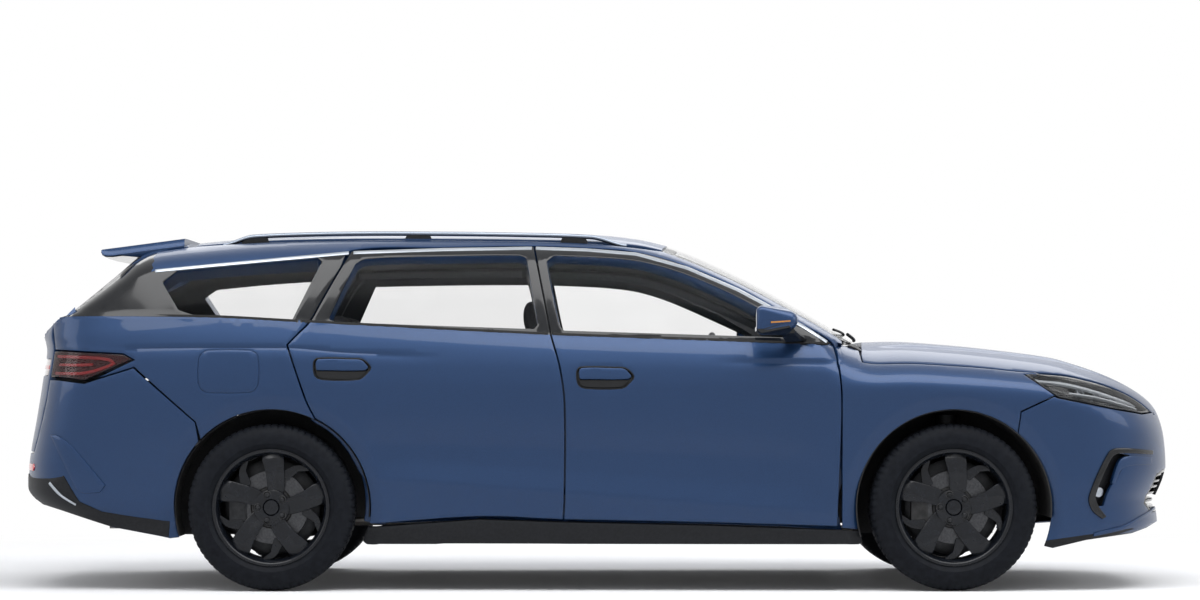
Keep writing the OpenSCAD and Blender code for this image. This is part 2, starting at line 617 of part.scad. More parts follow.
// ---------- moving panels ----------
module bonnet() color(blue) panel() difference() {
    intersection() {
        both_sides() lower_half(0);
        bonnet_space(0);
    }
    both_sides() lower_sunk(panel_thickness);
    both_sides() cabin_sunk(-1);
}
module tailgate() color(blue) panel() difference() {
    intersection() {
        both_sides() skin();
        both_sides() tailgate_space(0);
    }
    both_sides() inside(tailgate_thickness, tailgate_thickness);
    end_prism(grow(end_ref(tailgate_window_outline), seat_gap), sx(-2600), sx(-1950));
    side_prism(grow(ref(tailgate_lamp_outline), seat_gap), -1000, 1000);
}
tailgate_window_outline = [[-600, 1130], [-540, 1345], [540, 1345], [600, 1130]];
tailgate_lamp_outline = [[-2600, 880], [-2300, 880], [-2300, 950], [-2600, 950]];
module tailgate_window() color("#14181b") panel() intersection() {
    both_sides() difference() {
        cabin_sunk(3);
        cabin_sunk(3 + glass_thickness);
    }
    end_prism(end_ref(tailgate_window_outline), sx(-2600), sx(-1950));
}
module tailgate_lamp() color("#8d1620") panel() intersection() {
    both_sides() difference() {
        lower_half(1.5);
        lower_half(tailgate_thickness - 5);
    }
    both_sides() tailgate_space(-1);
    side_prism(ref(tailgate_lamp_outline), -1000, 1000);
}
module tailgate_spoiler() color(blue) panel() difference() {
    both_sides() half_solid([for (x = [-2085, -2060, -2000, -1940, -1880, -1820, -1760, -1730])
        let (t = 1408 + (x + 2085) * 0.132 + 2)
        [for (j = [0 : 6]) let (a = 90 * j / 6)
            [sx(x), sy(560 * pow(cos(a), 0.25) + 2), sz(t - 34 * (1 - sin(a)) - 2)]]]);
    both_sides() cabin_sunk(-0.3);
}
module fuel_flap() color(blue) panel() mirror([0, 1, 0]) difference() {
    intersection() {
        lower_half(0);
        side_prism(ref(flap_outline));
    }
    lower_half(flap_thickness);
}
module mirror_part(left) color(blue) panel() left_side(left) difference() {
    mirror_shape();
    lower_sunk(-0.3);
    cabin_sunk(-0.3);
}
module mirror_shape() {
    hull() {
        for (p = [[658, 958, 1062, 20], [655, 1030, 1072, 24], [655, 1030, 1138, 24], [660, 955, 1146, 20],
            [748, 958, 1078, 34], [762, 1000, 1104, 40], [745, 950, 1128, 30]])
            translate([sx(p[0]), sy(p[1]), sz(p[2])]) sphere(r = p[3], $fn = 20);
    }
    hull() {
        box(sx(742), sx(782), sy(930), sy(960), sz(1052), sz(1074));
        box(sx(770), sx(856), sy(844), sy(852), sz(1012), sz(1034));
    }
}
module mirror_left() mirror_part(true);
module mirror_right() mirror_part(false);

// ---------- floor and front structure ----------
module floor_plate(profile, y) side_prism(profile, -y, y);
module floor_pan() color("#3a3f45") {
    difference() {
        union() {
            // cabin floor, seat step, load floor
            floor_plate([[sx(-2254), sz(588)], [sx(-2254), sz(560)], [sx(-1050), sz(560)], [sx(-1000), sz(420)],
                [sx(-640), sz(420)], [sx(-560), floor_z], [sx(985), floor_z], [sx(1010), 380], [sx(1010), sz(955)],
                [sx(985), sz(955)], [sx(985), 390], [sx(965), floor_z + floor_thickness], [sx(-545), floor_z + floor_thickness], [sx(-625), sz(448)],
                [sx(-980), sz(448)], [sx(-1030), sz(588)]], sy(floor_y));
            // front longitudinals and upper rails
            for (y = [-1, 1]) {
                translate([sx(1008), y > 0 ? sy(430) : -sy(500), sz(440)]) cube([sx(2250) - sx(1008) - seat_gap, sy(70), sz(110)]);
                translate([sx(1008), y > 0 ? sy(660) : -sy(704.6), sz(800)]) cube([sx(1898) - sx(1008), sy(44.6), sz(60)]);
            }
            // front cross member
            translate([sx(2160), -sy(500), sz(455)]) cube([sx(2230) - sx(2160), sy(1000), sz(80)]);
            translate([sx(1860), -sy(690), sz(800)]) cube([sx(1898) - sx(1860), sy(1380), sz(50)]);
            for (y = [-1, 1])
                translate([sx(2168), y > 0 ? sy(430) : -sy(500), sz(500)]) cube([40, sy(70), sz(190)]);
        }
        // rear wheel houses
        for (y = [-1, 1])
            translate([axle_rear, y * sy(900), tyre_radius]) rotate([90, 0, 0])
                cylinder(r = arch_radius + 3, h = 2 * (sy(900) - house_wall + 3), center = true, $fn = 72);
        // hollow for the steering shaft
        translate([sx(1000), 370, sz(760)]) rotate([0, 90, 0]) cylinder(r = 30, h = 60, center = true, $fn = 24);
    }
}
house_wall = 640;
front_house_wall = 508;
liner = 4;
module arch_liner(x, wall, edge) {
    difference() {
        translate([x, edge, tyre_radius]) rotate([90, 0, 0])
            cylinder(r = arch_radius - 0.4, h = edge - wall, $fn = 72);
        translate([x, sy(906), tyre_radius]) rotate([90, 0, 0])
            cylinder(r = arch_radius - 0.4 - liner, h = sy(906) - wall - liner, $fn = 72);
        translate([x - 1000, wall - 1, -100]) cube([2000, 600, tyre_radius - 20]);
        translate([x - 120, wall - 1, 0]) cube([240, liner + 2, tyre_radius + 190]);
        translate([x + 200, wall - 1, 0]) cube([1000, 600, sz(300)]);
    }
}
module arch_liners() color(black) both_sides() {
    arch_liner(axle_front, front_house_wall, sy(905));
    arch_liner(axle_rear, house_wall, sy(838));
}
module engine() color("#55595e")
{
    translate([sx(1150), -sy(405), sz(270)]) cube([sx(1840) - sx(1150), sy(810), sz(500)]);
    // mounts to the longitudinals
    translate([sx(1440), -sy(430) + seat_gap, sz(460)]) cube([sx(1530) - sx(1440), 2 * (sy(430) - seat_gap), sz(70)]);
}

// ---------- running gear ----------
disc_y = wheel_y + 28;
lug_z = 105;
module strut_side() {
    // lower arm, upper arm and their steering pins
    translate([axle_front - 22, 395, tyre_radius - lug_z - 32]) cube([44, wheel_y - 395, 22]);
    translate([axle_front, wheel_y, tyre_radius - lug_z - 32]) cylinder(r = 22, h = 22, $fn = 40);
    translate([axle_front, wheel_y, tyre_radius - lug_z - 12]) cylinder(r = 12, h = 52, $fn = 32);
    translate([axle_front - 22, 570, tyre_radius + lug_z + 10]) cube([44, wheel_y - 570, 20]);
    translate([axle_front, wheel_y, tyre_radius + lug_z + 10]) cylinder(r = 22, h = 20, $fn = 40);
    translate([axle_front, wheel_y, tyre_radius + lug_z - 40]) cylinder(r = 12, h = 52, $fn = 32);
    // damper and spring
    translate([axle_front, 570, tyre_radius - lug_z - 20]) cylinder(r = 28, h = 300, $fn = 32);
    translate([axle_front, 570, tyre_radius + 140]) cylinder(r = 50, h = arch_radius - 140 - 26, $fn = 40);
}
module front_suspension() color("#4a4d50") {
    both_sides() strut_side();
    translate([axle_front - 60, -sy(430), tyre_radius - lug_z - 42]) cube([120, sy(860), 40]);
    for (y = [-1, 1])
        translate([axle_front - 40, y > 0 ? sy(432) : -sy(498), tyre_radius - lug_z - 42])
            cube([80, sy(66), sz(440) - tyre_radius + lug_z + 42 - 0.3]);
}
module rear_axle() color("#4a4d50") {
    both_sides() {
        translate([axle_rear, 600, tyre_radius]) rotate([-90, 0, 0]) cylinder(r = spindle_radius, h = wheel_y + 65 - 600, $fn = 48);
        translate([axle_rear, 600, tyre_radius]) rotate([-90, 0, 0]) cylinder(r = 62, h = wheel_y + 22 - 600, $fn = 48);
        translate([axle_rear - 30, sy(520), tyre_radius + 20]) cube([60, 60, sz(560) - tyre_radius - 20.3]);
        translate([axle_rear + 20, sy(520), tyre_radius - 50]) cube([sx(-950) - axle_rear - 20, 60, 70]);
        translate([sx(-980), sy(520), tyre_radius - 50]) cube([60, 60, sz(420) - tyre_radius + 49.7]);
        caliper(axle_rear, -1);
    }
    translate([axle_rear - 45, -640, tyre_radius - 45]) cube([90, 1280, 80]);
}
// Caliper over the disc on the side of the axle that s gives, with its bracket
module caliper(x, s) {
    r = disc_diameter / 2;
    difference() {
        translate([x + s * (r - 12) - 34, wheel_y - 8, tyre_radius - 62]) cube([68, tyre_width / 2 - 40.5, 124]);
        translate([x, disc_y - 8, tyre_radius]) rotate([-90, 0, 0]) cylinder(r = r + 6, h = 36, $fn = 64);
        translate([x, disc_y - 8, tyre_radius]) rotate([-90, 0, 0]) cylinder(r = 78, h = 80, $fn = 48);
    }
    translate([x + (s > 0 ? 0 : -r), wheel_y - 8, tyre_radius - 24]) cube([r, 24, 48]);
}
module knuckle() {
    difference() {
        union() {
            translate([axle_front, wheel_y - 24, tyre_radius]) rotate([-90, 0, 0]) cylinder(r = 56, h = 46, $fn = 48);
            translate([axle_front, wheel_y - 24, tyre_radius]) rotate([-90, 0, 0])
                cylinder(r = spindle_radius, h = 89, $fn = 48);
            translate([axle_front - 23, wheel_y - 23, tyre_radius - lug_z]) cube([46, 45, 2 * lug_z]);
            caliper(axle_front, -1);
        }
        for (z = [-lug_z - 1, lug_z - 51])
            translate([axle_front, wheel_y, tyre_radius + z]) cylinder(r = 12 + running_gap, h = 52, $fn = 32);
    }
}
module knuckle_left() color("#6a6d70") knuckle();
module knuckle_right() color("#6a6d70") mirror([0, 1, 0]) knuckle();

// ---------- wheels, about their own axle ----------
rim_r = rim_diameter / 2;
module tyre() {
    w = tyre_width / 2;
    rotate([-90, 0, 0]) rotate_extrude($fn = 96) polygon(concat(
        [[rim_r + 0.3, -w + 22], [rim_r + 0.3, w - 22], [rim_r + 14, w - 18], [rim_r + 24, w - 6]],
        [for (a = [-20 : 20 : 80]) [tyre_radius - 34 + 34 * sin(a), w - 30 + 30 * cos(a)]],
        [[tyre_radius, w - 34], [tyre_radius, -w + 34]],
        [for (a = [80 : -20 : -20]) [tyre_radius - 34 + 34 * sin(a), -w + 30 - 30 * cos(a)]],
        [[rim_r + 24, -w + 6], [rim_r + 14, -w + 18]]));
}
spokes = 5;
module rim() {
    w = tyre_width / 2;
    rotate([-90, 0, 0]) rotate_extrude($fn = 96)
        polygon([[rim_r + 12, -w + 12], [rim_r + 12, -w + 17.6], [rim_r, -w + 21.4], [rim_r, w - 21.4],
            [rim_r + 12, w - 17.6], [rim_r + 12, w - 12], [rim_r, w - 8], [rim_r - 12, w - 12], [rim_r - 14, -w + 12]]);
    difference() {
        union() {
            // hub, disc and spoke centre
            translate([0, 28, 0]) rotate([-90, 0, 0]) cylinder(r = disc_diameter / 2, h = 22, $fn = 72);
            translate([0, 28, 0]) rotate([-90, 0, 0]) cylinder(r = 72, h = w - 42, $fn = 48);
        }
        translate([0, 20, 0]) rotate([-90, 0, 0]) cylinder(r = spindle_radius + running_gap, h = 52, $fn = 48);
    }
    for (i = [0 : spokes - 1]) rotate([0, i * 360 / spokes, 0])
        translate([0, w - 8, 0]) rotate([90, 0, 0]) linear_extrude(22)
            polygon([[-26, 40], [26, 40], [40, 120], [78, 150], [112, rim_r - 36], [60, rim_r - 12], [-16, rim_r - 4],
                [-6, 150], [-22, 110]]);
}
module at_wheel(x, left) translate([x, left ? wheel_y : -wheel_y, tyre_radius]) left_side(left) children();
module tyre_front_left() color(black) at_wheel(axle_front, true) tyre();
module tyre_front_right() color(black) at_wheel(axle_front, false) tyre();
module tyre_rear_left() color(black) at_wheel(axle_rear, true) tyre();
module tyre_rear_right() color(black) at_wheel(axle_rear, false) tyre();
module wheel_front_left() color("#1b1d20") at_wheel(axle_front, true) rim();
module wheel_front_right() color("#1b1d20") at_wheel(axle_front, false) rim();
module wheel_rear_left() color("#1b1d20") at_wheel(axle_rear, true) rim();
module wheel_rear_right() color("#1b1d20") at_wheel(axle_rear, false) rim();

// ---------- cabin ----------
pipe_r = 24;
module pipe(a, b) {
    d = b - a;
    translate(a) rotate([0, acos(d[2] / norm(d)), atan2(d[1], d[0])]) cylinder(r = pipe_r, h = norm(d), $fn = 32);
    translate(b) sphere(r = pipe_r + 2, $fn = 32);
}
module exhaust() color("#7a7d80") {
    translate([sx(-2080), -sy(330), 232]) cube([180, sy(660), 170]);
    pipe([sx(-1920), 0, 256], [sx(-720), 0, 256]);
    pipe([sx(-720), 0, 256], [sx(-600), 0, 208]);
    pipe([sx(-600), 0, 208], [sx(1090), 0, 208]);
    translate([sx(-2060), -60, 400]) cube([40, 120, sz(560) - 400.3]);
    translate([sx(-760), -30, 256]) cube([40, 60, sz(420) - 256.3]);
}
module seat(x, y, w) {
    translate([x, y + w / 2, 0]) rotate([90, 0, 0]) linear_extrude(w) polygon(concat(
        [[-150, 330], [-190, 400], [-170, 470]],
        [[-262, 860], [-330, 1020], [-250, 1045], [-190, 1000], [-110, 700], [-60, 530], [60, 500], [280, 520]],
        [for (a = [80 : -40 : -80]) [290 + 45 * cos(a), 465 + 45 * sin(a)]], [[200, 390], [180, 330]]));
    translate([x - 330, y - 130, 1020]) rotate([0, 6, 0]) cube([90, 260, 170]);
    for (s = [-1, 1])
        translate([x - 160, y + s * w * 0.36 - 20, 262.3]) cube([350, 40, 80]);
}
module front_seats() color("#2b2d30") for (y = [-1, 1]) seat(sx(40), y * seat_y, seat_width);
module rear_seat() color("#2b2d30") {
    side_prism([[sx(-960), sz(448.3)], [sx(-1000), sz(600)], [sx(-1130), sz(1000)], [sx(-1050), sz(1030)],
        [sx(-1000), sz(1010)], [sx(-900), sz(720)], [sx(-860), sz(590)], [sx(-400), sz(560)], [sx(-370), sz(500)],
        [sx(-400), sz(448.3)]], -sy(590), sy(590));
    for (y = [-sy(380), 0, sy(380)])
        translate([sx(-1135), y - 120, sz(1000)]) rotate([0, 6, 0]) cube([85, 240, 130]);
}
steer_tilt = 24;
seat_y = sy(375);
console_half = seat_y - seat_width / 2 - 20;
wheel_centre = [sx(430), 370, sz(905)];
module along_column() translate(wheel_centre) rotate([0, 90 + steer_tilt, 0]) children();
module dashboard() color("#26282b") difference() {
    union() {
        side_prism([[sx(985) - 0.3, sz(940)], [sx(985) - 0.3, sz(560)], [sx(800), sz(560)], [sx(690), sz(700)],
            [sx(640), sz(860)], [sx(700), sz(940)], [sx(820), sz(965)]], -sy(708), sy(708));
        // centre console
        side_prism([[sx(-250), 262.3], [sx(900), 262.3], [sx(900), sz(700)], [sx(700), sz(700)], [sx(560), 600],
            [sx(-200), 560], [sx(-260), 540]], -console_half, console_half);
    }
    along_column() cylinder(r = 24 + running_gap, h = 700, $fn = 40);
}
module steering_wheel() color("#1d1f22") along_column() {
    rotate_extrude($fn = 64) translate([steering_wheel_diameter / 2 - 16, 0]) circle(r = 16, $fn = 24);
    cylinder(r = 24, h = 330, $fn = 40);
    translate([0, 0, -16]) cylinder(r = 70, h = 40, $fn = 40);
    for (a = [0, 180, 270])
        rotate([0, 0, a]) translate([0, -20, -8]) cube([steering_wheel_diameter / 2 - 16, 40, 16]);
}

body_sides();
roof();
roof_rails();
front_wings();
front_bumper();
rear_bumper();
grille();
headlamps();
tail_lamps();
windscreen();
cowl();
quarter_windows();
sill_covers();
floor_pan();
arch_liners();
engine();
front_suspension();
rear_axle();
exhaust();
front_seats();
rear_seat();
dashboard();
steering_wheel();
bonnet();
fuel_flap();
front_door_left();
front_door_right();
rear_door_left();
rear_door_right();
front_window_left();
front_window_right();
rear_window_left();
rear_window_right();
mirror_left();
mirror_right();
tailgate();
tailgate_window();
tailgate_spoiler();
tailgate_lamp();
tyre_front_left();
tyre_front_right();
tyre_rear_left();
tyre_rear_right();
wheel_front_left();
wheel_front_right();
wheel_rear_left();
wheel_rear_right();
knuckle_left();
knuckle_right();
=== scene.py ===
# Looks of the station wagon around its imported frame. Lengths here are in millimetres until a mesh
# is made, in the frame's own axes: +X forward, +Y to the car's left, +Z up.
import math

import bpy
import bmesh
import numpy as np
from mathutils import Matrix, Vector
from mathutils.geometry import delaunay_2d_cdt


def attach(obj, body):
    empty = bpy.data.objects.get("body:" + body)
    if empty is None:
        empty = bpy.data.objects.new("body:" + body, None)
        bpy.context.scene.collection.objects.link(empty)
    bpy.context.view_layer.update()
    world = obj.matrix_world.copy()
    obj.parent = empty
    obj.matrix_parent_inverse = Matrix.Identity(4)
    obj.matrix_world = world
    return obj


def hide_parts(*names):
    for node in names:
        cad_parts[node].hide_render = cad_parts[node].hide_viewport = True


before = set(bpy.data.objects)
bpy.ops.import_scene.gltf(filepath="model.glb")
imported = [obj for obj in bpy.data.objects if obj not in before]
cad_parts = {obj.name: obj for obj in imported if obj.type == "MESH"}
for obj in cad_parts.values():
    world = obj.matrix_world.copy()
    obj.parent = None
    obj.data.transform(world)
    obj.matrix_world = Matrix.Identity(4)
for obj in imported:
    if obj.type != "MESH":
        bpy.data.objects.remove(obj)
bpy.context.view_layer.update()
MM = 0.001

# ---------------------------------------- body skin, as in the part's source
DECK = [[-2420, 1030], [-2364, 1066], [-2270, 1124], [-2090, 1124], [-1641, 1120], [-1231, 1100],
        [-165, 1046], [409, 1026], [950, 1009], [1060, 1020], [1248, 1026], [1465, 1013], [1682, 991],
        [1899, 961], [2007, 931], [2115, 896], [2224, 853], [2332, 792], [2390, 735], [2420, 660]]
ROOF = [[-2300, 1100], [-2252, 1140], [-2140, 1236], [-2016, 1342], [-1950, 1395], [-1880, 1422],
        [-1700, 1445], [-1300, 1478], [-900, 1491], [-500, 1494], [-200, 1491], [0, 1482], [163, 1464],
        [271, 1440], [378, 1405], [486, 1359], [593, 1308], [701, 1252], [808, 1192], [916, 1130],
        [1023, 1063], [1130, 996]]
HALF_WIDTH = [[-2420, 830], [-2200, 876], [-2000, 902], [-1700, 926], [-1345, 937], [-900, 932], [-300, 927],
              [300, 927], [900, 931], [1445, 937], [1800, 922], [2000, 896], [2200, 850], [2420, 770]]
SIDE_PLAIN = [[140, 75], [180, 52], [280, 34], [394, 25], [500, 17], [650, 6], [760, 1], [830, 0],
              [900, 9], [970, 31], [1040, 66]]
SIDE_LOW = [[140, 75], [180, 52], [280, 34], [394, 12]]
SIDE_HIGH = [[394, 12], [440, 21], [500, 29], [560, 29], [650, 14], [760, 2], [830, 0],
             [900, 9], [970, 31], [1040, 66]]
NOSE = [[140, -250], [200, -110], [262, -36], [300, -40], [360, -44], [430, -16], [500, 0], [620, -4],
        [700, -10]]
TAIL = [[140, 330], [220, 262], [290, 150], [350, 46], [410, 0], [490, 0], [560, 8], [700, 34], [880, 62],
        [990, 74], [1050, 58], [1130, 60]]
AXLE_FRONT, AXLE_REAR, AXLE_Z, WHEEL_Y = 1445.0, -1345.0, 341.0, 810.0
TYRE_R, ARCH_R = 341.0, 401.0
_tables = {}


def curve(x, table):
    """Smooth curve through the table's points."""
    key = id(table)
    if key not in _tables:
        p = np.array(table, float)
        d = np.diff(p[:, 1]) / np.diff(p[:, 0])
        m = np.concatenate([[d[0]], np.zeros(len(p) - 2), [d[-1]]])
        for i in range(1, len(p) - 1):
            if d[i - 1] * d[i] > 0:
                m[i] = 2 * d[i - 1] * d[i] / (d[i - 1] + d[i])
        _tables[key] = (p[:, 0], p[:, 1], m, table)
    px, py, m, _ = _tables[key]
    x = np.clip(np.asarray(x, float), px[0], px[-1])
    i = np.clip(np.searchsorted(px, x, side="right") - 1, 0, len(px) - 2)
    h = px[i + 1] - px[i]
    t = (x - px[i]) / h
    return ((2 * t ** 3 - 3 * t * t + 1) * py[i] + (t ** 3 - 2 * t * t + t) * h * m[i]
            + (3 * t * t - 2 * t ** 3) * py[i + 1] + (t ** 3 - t * t) * h * m[i + 1])


def ramp(a, b, x):
    t = np.clip((np.asarray(x, float) - a) / (b - a), 0, 1)
    return t * t * (3 - 2 * t)


def belt(x):
    return curve(np.minimum(x, 950), DECK)


def side_depth(x, z):
    c = z + 0.0767 * x * (1 - ramp(420, 760, z))
    s = np.where(z <= 830, c, 830 + (z - 830) * 210 / (np.maximum(belt(x), 1000) - 830))
    m = ramp(-1150, -700, x) * (1 - ramp(650, 1050, x))
    a = curve(s, SIDE_PLAIN)
    return a + m * (np.where(s < 394, curve(s, SIDE_LOW), curve(s, SIDE_HIGH)) - a)


def corner(x):
    f = np.clip((x - 1750) / 670, 0, 1)
    r = np.clip((x + 1950) / -470, 0, 1)
    return (1 - f ** 4.2) ** 0.4 * (1 - r ** 5) ** 0.34


def bonnet_round(x, z):
    u = np.clip((z - curve(x, DECK) + 235) / 235, 0, 1)
    return 1 + ramp(900, 1160, x) * ((1 - u ** 2.6) ** (1 / 3) - 1)


def arch_lip(x, z):
    r = np.minimum(np.hypot(x - AXLE_FRONT, z - AXLE_Z), np.hypot(x - AXLE_REAR, z - AXLE_Z))
    return 18 * (1 - ramp(398, 462, r)) + 5 * (1 - ramp(462, 640, r))


def lower_y(x, z):
    return (curve(x, HALF_WIDTH) - side_depth(x, z)) * corner(x) * bonnet_round(x, z) - arch_lip(x, z) + 5


def cabin_y(x, z):
    b = belt(x)
    h = np.maximum(0, z - b)
    k = b - 60
    t = curve(x, ROOF)
    u = np.clip((z - k) / np.maximum(20, t - k), 0, 1)
    low = lower_y(x, np.minimum(b, curve(x, DECK) - 60 * ramp(850, 1000, x)))
    return (low - 1 - 0.35 * h - 0.0002 * h * h) * np.maximum(0, 1 - u ** 9) ** (1 / 3)


def lower_shift(x, z):
    return (curve(z, NOSE) * ramp(1500, 2420, x) ** 1.5 + curve(z, TAIL) * ramp(-1650, -2420, x) ** 1.2)


def cabin_shift(x, y):
    return -0.00011 * y * y * ramp(-100, 600, x) + 0.0001 * y * y * ramp(-1700, -2100, x)


def skin_y(x, z):
    return np.where(z > belt(x), cabin_y(x, z), lower_y(x, z))


def bisect(test, low, high, steps=34):
    """The largest value between low and high for which test still holds, one for each element."""
    a, b = np.array(low, float), np.array(high, float)
    for _ in range(steps):
        m = (a + b) / 2
        ok = test(m)
        a, b = np.where(ok, m, a), np.where(ok, b, m)
    return (a + b) / 2


# ---------------------------------------- surfaces: (u, v) -> points
def side_at(x, z):
    """Side of the body, in side view."""
    y = skin_y(x, z)
    s = np.where(z > belt(x), cabin_shift(x, y), lower_shift(x, z))
    return np.stack([x + s, y, z], -1)


def bonnet_at(x, y):
    a = np.abs(y)
    t = curve(x, DECK)
    z = bisect(lambda z: lower_y(x, z) > a, t - 320, t + 0 * a)
    return np.stack([x + lower_shift(x, z), y, z], -1)


def roof_at(x, y):
    a = np.abs(y)
    t = curve(x, ROOF)
    z = bisect(lambda z: cabin_y(x, z) > a, np.minimum(belt(x), t - 5), t + 0 * a)
    return np.stack([x + cabin_shift(x, a), y, z], -1)


FAN_X, FAN_Z = -1560.0, 860.0


def tail_inside(px, y, z):
    a = np.abs(y)
    x = px - 60
    for _ in range(6):
        x = px - lower_shift(x, z)
    low = (a < lower_y(x, z)) & (z < curve(x, DECK)) & (x > -2420)
    c = px
    for _ in range(3):
        c = px - cabin_shift(c, a)
    return low | ((a < cabin_y(c, z)) & (z < curve(c, ROOF)) & (c > -2300))


def tail_at(w, y):
    """Tail of the body by angle about a line across the car, in tenths of a degree above the horizontal."""
    t = np.radians(w / 10)
    r = bisect(lambda r: tail_inside(FAN_X - r * np.cos(t), y, FAN_Z + r * np.sin(t)), 200 + 0 * y,
               1100 + 0 * y)
    return np.stack([FAN_X - r * np.cos(t), y + 0 * t, FAN_Z + r * np.sin(t)], -1)


def round_at(x0, sign):
    """Nose or tail by angle in plan about (x0, 0) and by height."""
    def surface(c, z):
        t = c / 900

        def test(r):
            x = x0 + sign * r * np.cos(t)
            return (lower_y(x, z) > r * np.abs(np.sin(t))) & (z < curve(x, DECK))
        far = np.minimum(1300, (861 if sign < 0 else 920) / np.maximum(np.cos(t), 0.01))
        r = bisect(test, 100 + 0 * t, far)
        x = x0 + sign * r * np.cos(t)
        return np.stack([x + lower_shift(x, z), r * np.sin(t), z + 0 * t], -1)
    return surface


nose_at = round_at(1500.0, 1)
rear_at = round_at(-1560.0, -1)


def normals(surface, u, v, centre=(0.0, 0.0, 600.0)):
    e = 0.8
    n = np.cross(surface(u + e, v) - surface(u - e, v), surface(u, v + e) - surface(u, v - e))
    n /= np.maximum(np.linalg.norm(n, axis=-1, keepdims=True), 1e-9)
    p = surface(u, v)
    out = p - np.array(centre)
    out[:, 0] = np.where(np.abs(p[:, 0]) > 1900, out[:, 0], 0)
    flip = np.sign((n * out).sum(-1, keepdims=True))
    return n * np.where(flip == 0, 1, flip)


# ---------------------------------------- outlines
def ring_area(p):
    q = np.roll(p, -1, 0)
    return 0.5 * np.sum(p[:, 0] * q[:, 1] - p[:, 1] * q[:, 0])


def grow(p, d):
    """Outline moved outwards by d, or inwards where d is negative."""
    p = np.asarray(p, float)
    s = 1 if ring_area(p) > 0 else -1
    e = np.roll(p, -1, 0) - p
    e /= np.maximum(np.linalg.norm(e, axis=1, keepdims=True), 1e-9)
    b = np.roll(e, 1, 0)
    m = np.stack([b[:, 1] + e[:, 1], -b[:, 0] - e[:, 0]], 1)
    k = 1 + (b * e).sum(1, keepdims=True)
    return p + s * d * m / np.maximum(0.35, k)


def smooth(p, sharp=34, radius=8.0, step=16.0, closed=True):
    """Outline through the points, smooth at the small turns and with small rounds at the sharp ones."""
    p = np.asarray(p, float)
    n = len(p)
    turn = np.zeros(n)
    for i in range(n):
        if not closed and i in (0, n - 1):
            turn[i] = 180
            continue
        a, b = p[i] - p[i - 1], p[(i + 1) % n] - p[i]
        turn[i] = abs(math.degrees(math.atan2(a[0] * b[1] - a[1] * b[0], a @ b)))
    hard = turn > sharp
    out = []
    for i in range(n if closed else n - 1):
        a, b = p[i], p[(i + 1) % n]
        length = np.linalg.norm(b - a)
        ta = (b - a) if hard[i] else (b - p[i - 1]) * length / (length + np.linalg.norm(a - p[i - 1]))
        c = p[(i + 2) % n]
        tb = (b - a) if hard[(i + 1) % n] else (c - a) * length / (length + np.linalg.norm(c - b))
        k = max(1, int(round(length / step)))
        for j in range(k):
            t = j / k
            out.append((2 * t ** 3 - 3 * t * t + 1) * a + (t ** 3 - 2 * t * t + t) * ta
                       + (3 * t * t - 2 * t ** 3) * b + (t ** 3 - t * t) * tb)
    if not closed:
        out.append(p[-1])
    out = np.array(out)
    if radius <= 0 or not closed:
        return out
    # rounds at the sharp corners
    res = []
    m = len(out)
    for i in range(m):
        a, b, c = out[i - 1], out[i], out[(i + 1) % m]
        u, v = a - b, c - b
        lu, lv = np.linalg.norm(u), np.linalg.norm(v)
        ang = abs(math.degrees(math.atan2(u[0] * v[1] - u[1] * v[0], u @ v)))
        if 180 - ang > sharp * 0.8 and min(lu, lv) > 1:
            r = min(radius, 0.45 * min(lu, lv))
            for t in (0, 0.25, 0.5, 0.75, 1):
                res.append((1 - t) ** 2 * (b + u / lu * r) + 2 * t * (1 - t) * b + t * t * (b + v / lv * r))
        else:
            res.append(b)
    return np.array(res)


def even_odd(points, loops):
    inside = np.zeros(len(points), bool)
    x, y = points[:, 0:1], points[:, 1:2]
    for loop in loops:
        a, b = loop, np.roll(loop, -1, 0)
        cross = (a[:, 1] > y) != (b[:, 1] > y)
        dy = np.where(np.abs(b[:, 1] - a[:, 1]) < 1e-12, 1e-12, b[:, 1] - a[:, 1])
        xi = (b[:, 0] - a[:, 0]) * (y - a[:, 1]) / dy + a[:, 0]
        inside ^= (np.sum(cross & (x < xi), 1) % 2).astype(bool)
    return inside


def distance(points, loops):
    best = np.full(len(points), 1e9)
    for loop in loops:
        a, b = loop, np.roll(loop, -1, 0)
        ab = b - a
        l2 = np.maximum((ab * ab).sum(1), 1e-12)
        for i in range(0, len(points), 2000):
            q = points[i:i + 2000, None, :]
            t = np.clip(((q - a) * ab).sum(-1) / l2, 0, 1)
            d = np.linalg.norm(q - (a + ab * t[..., None]), axis=-1).min(1)
            best[i:i + 2000] = np.minimum(best[i:i + 2000], d)
    return best


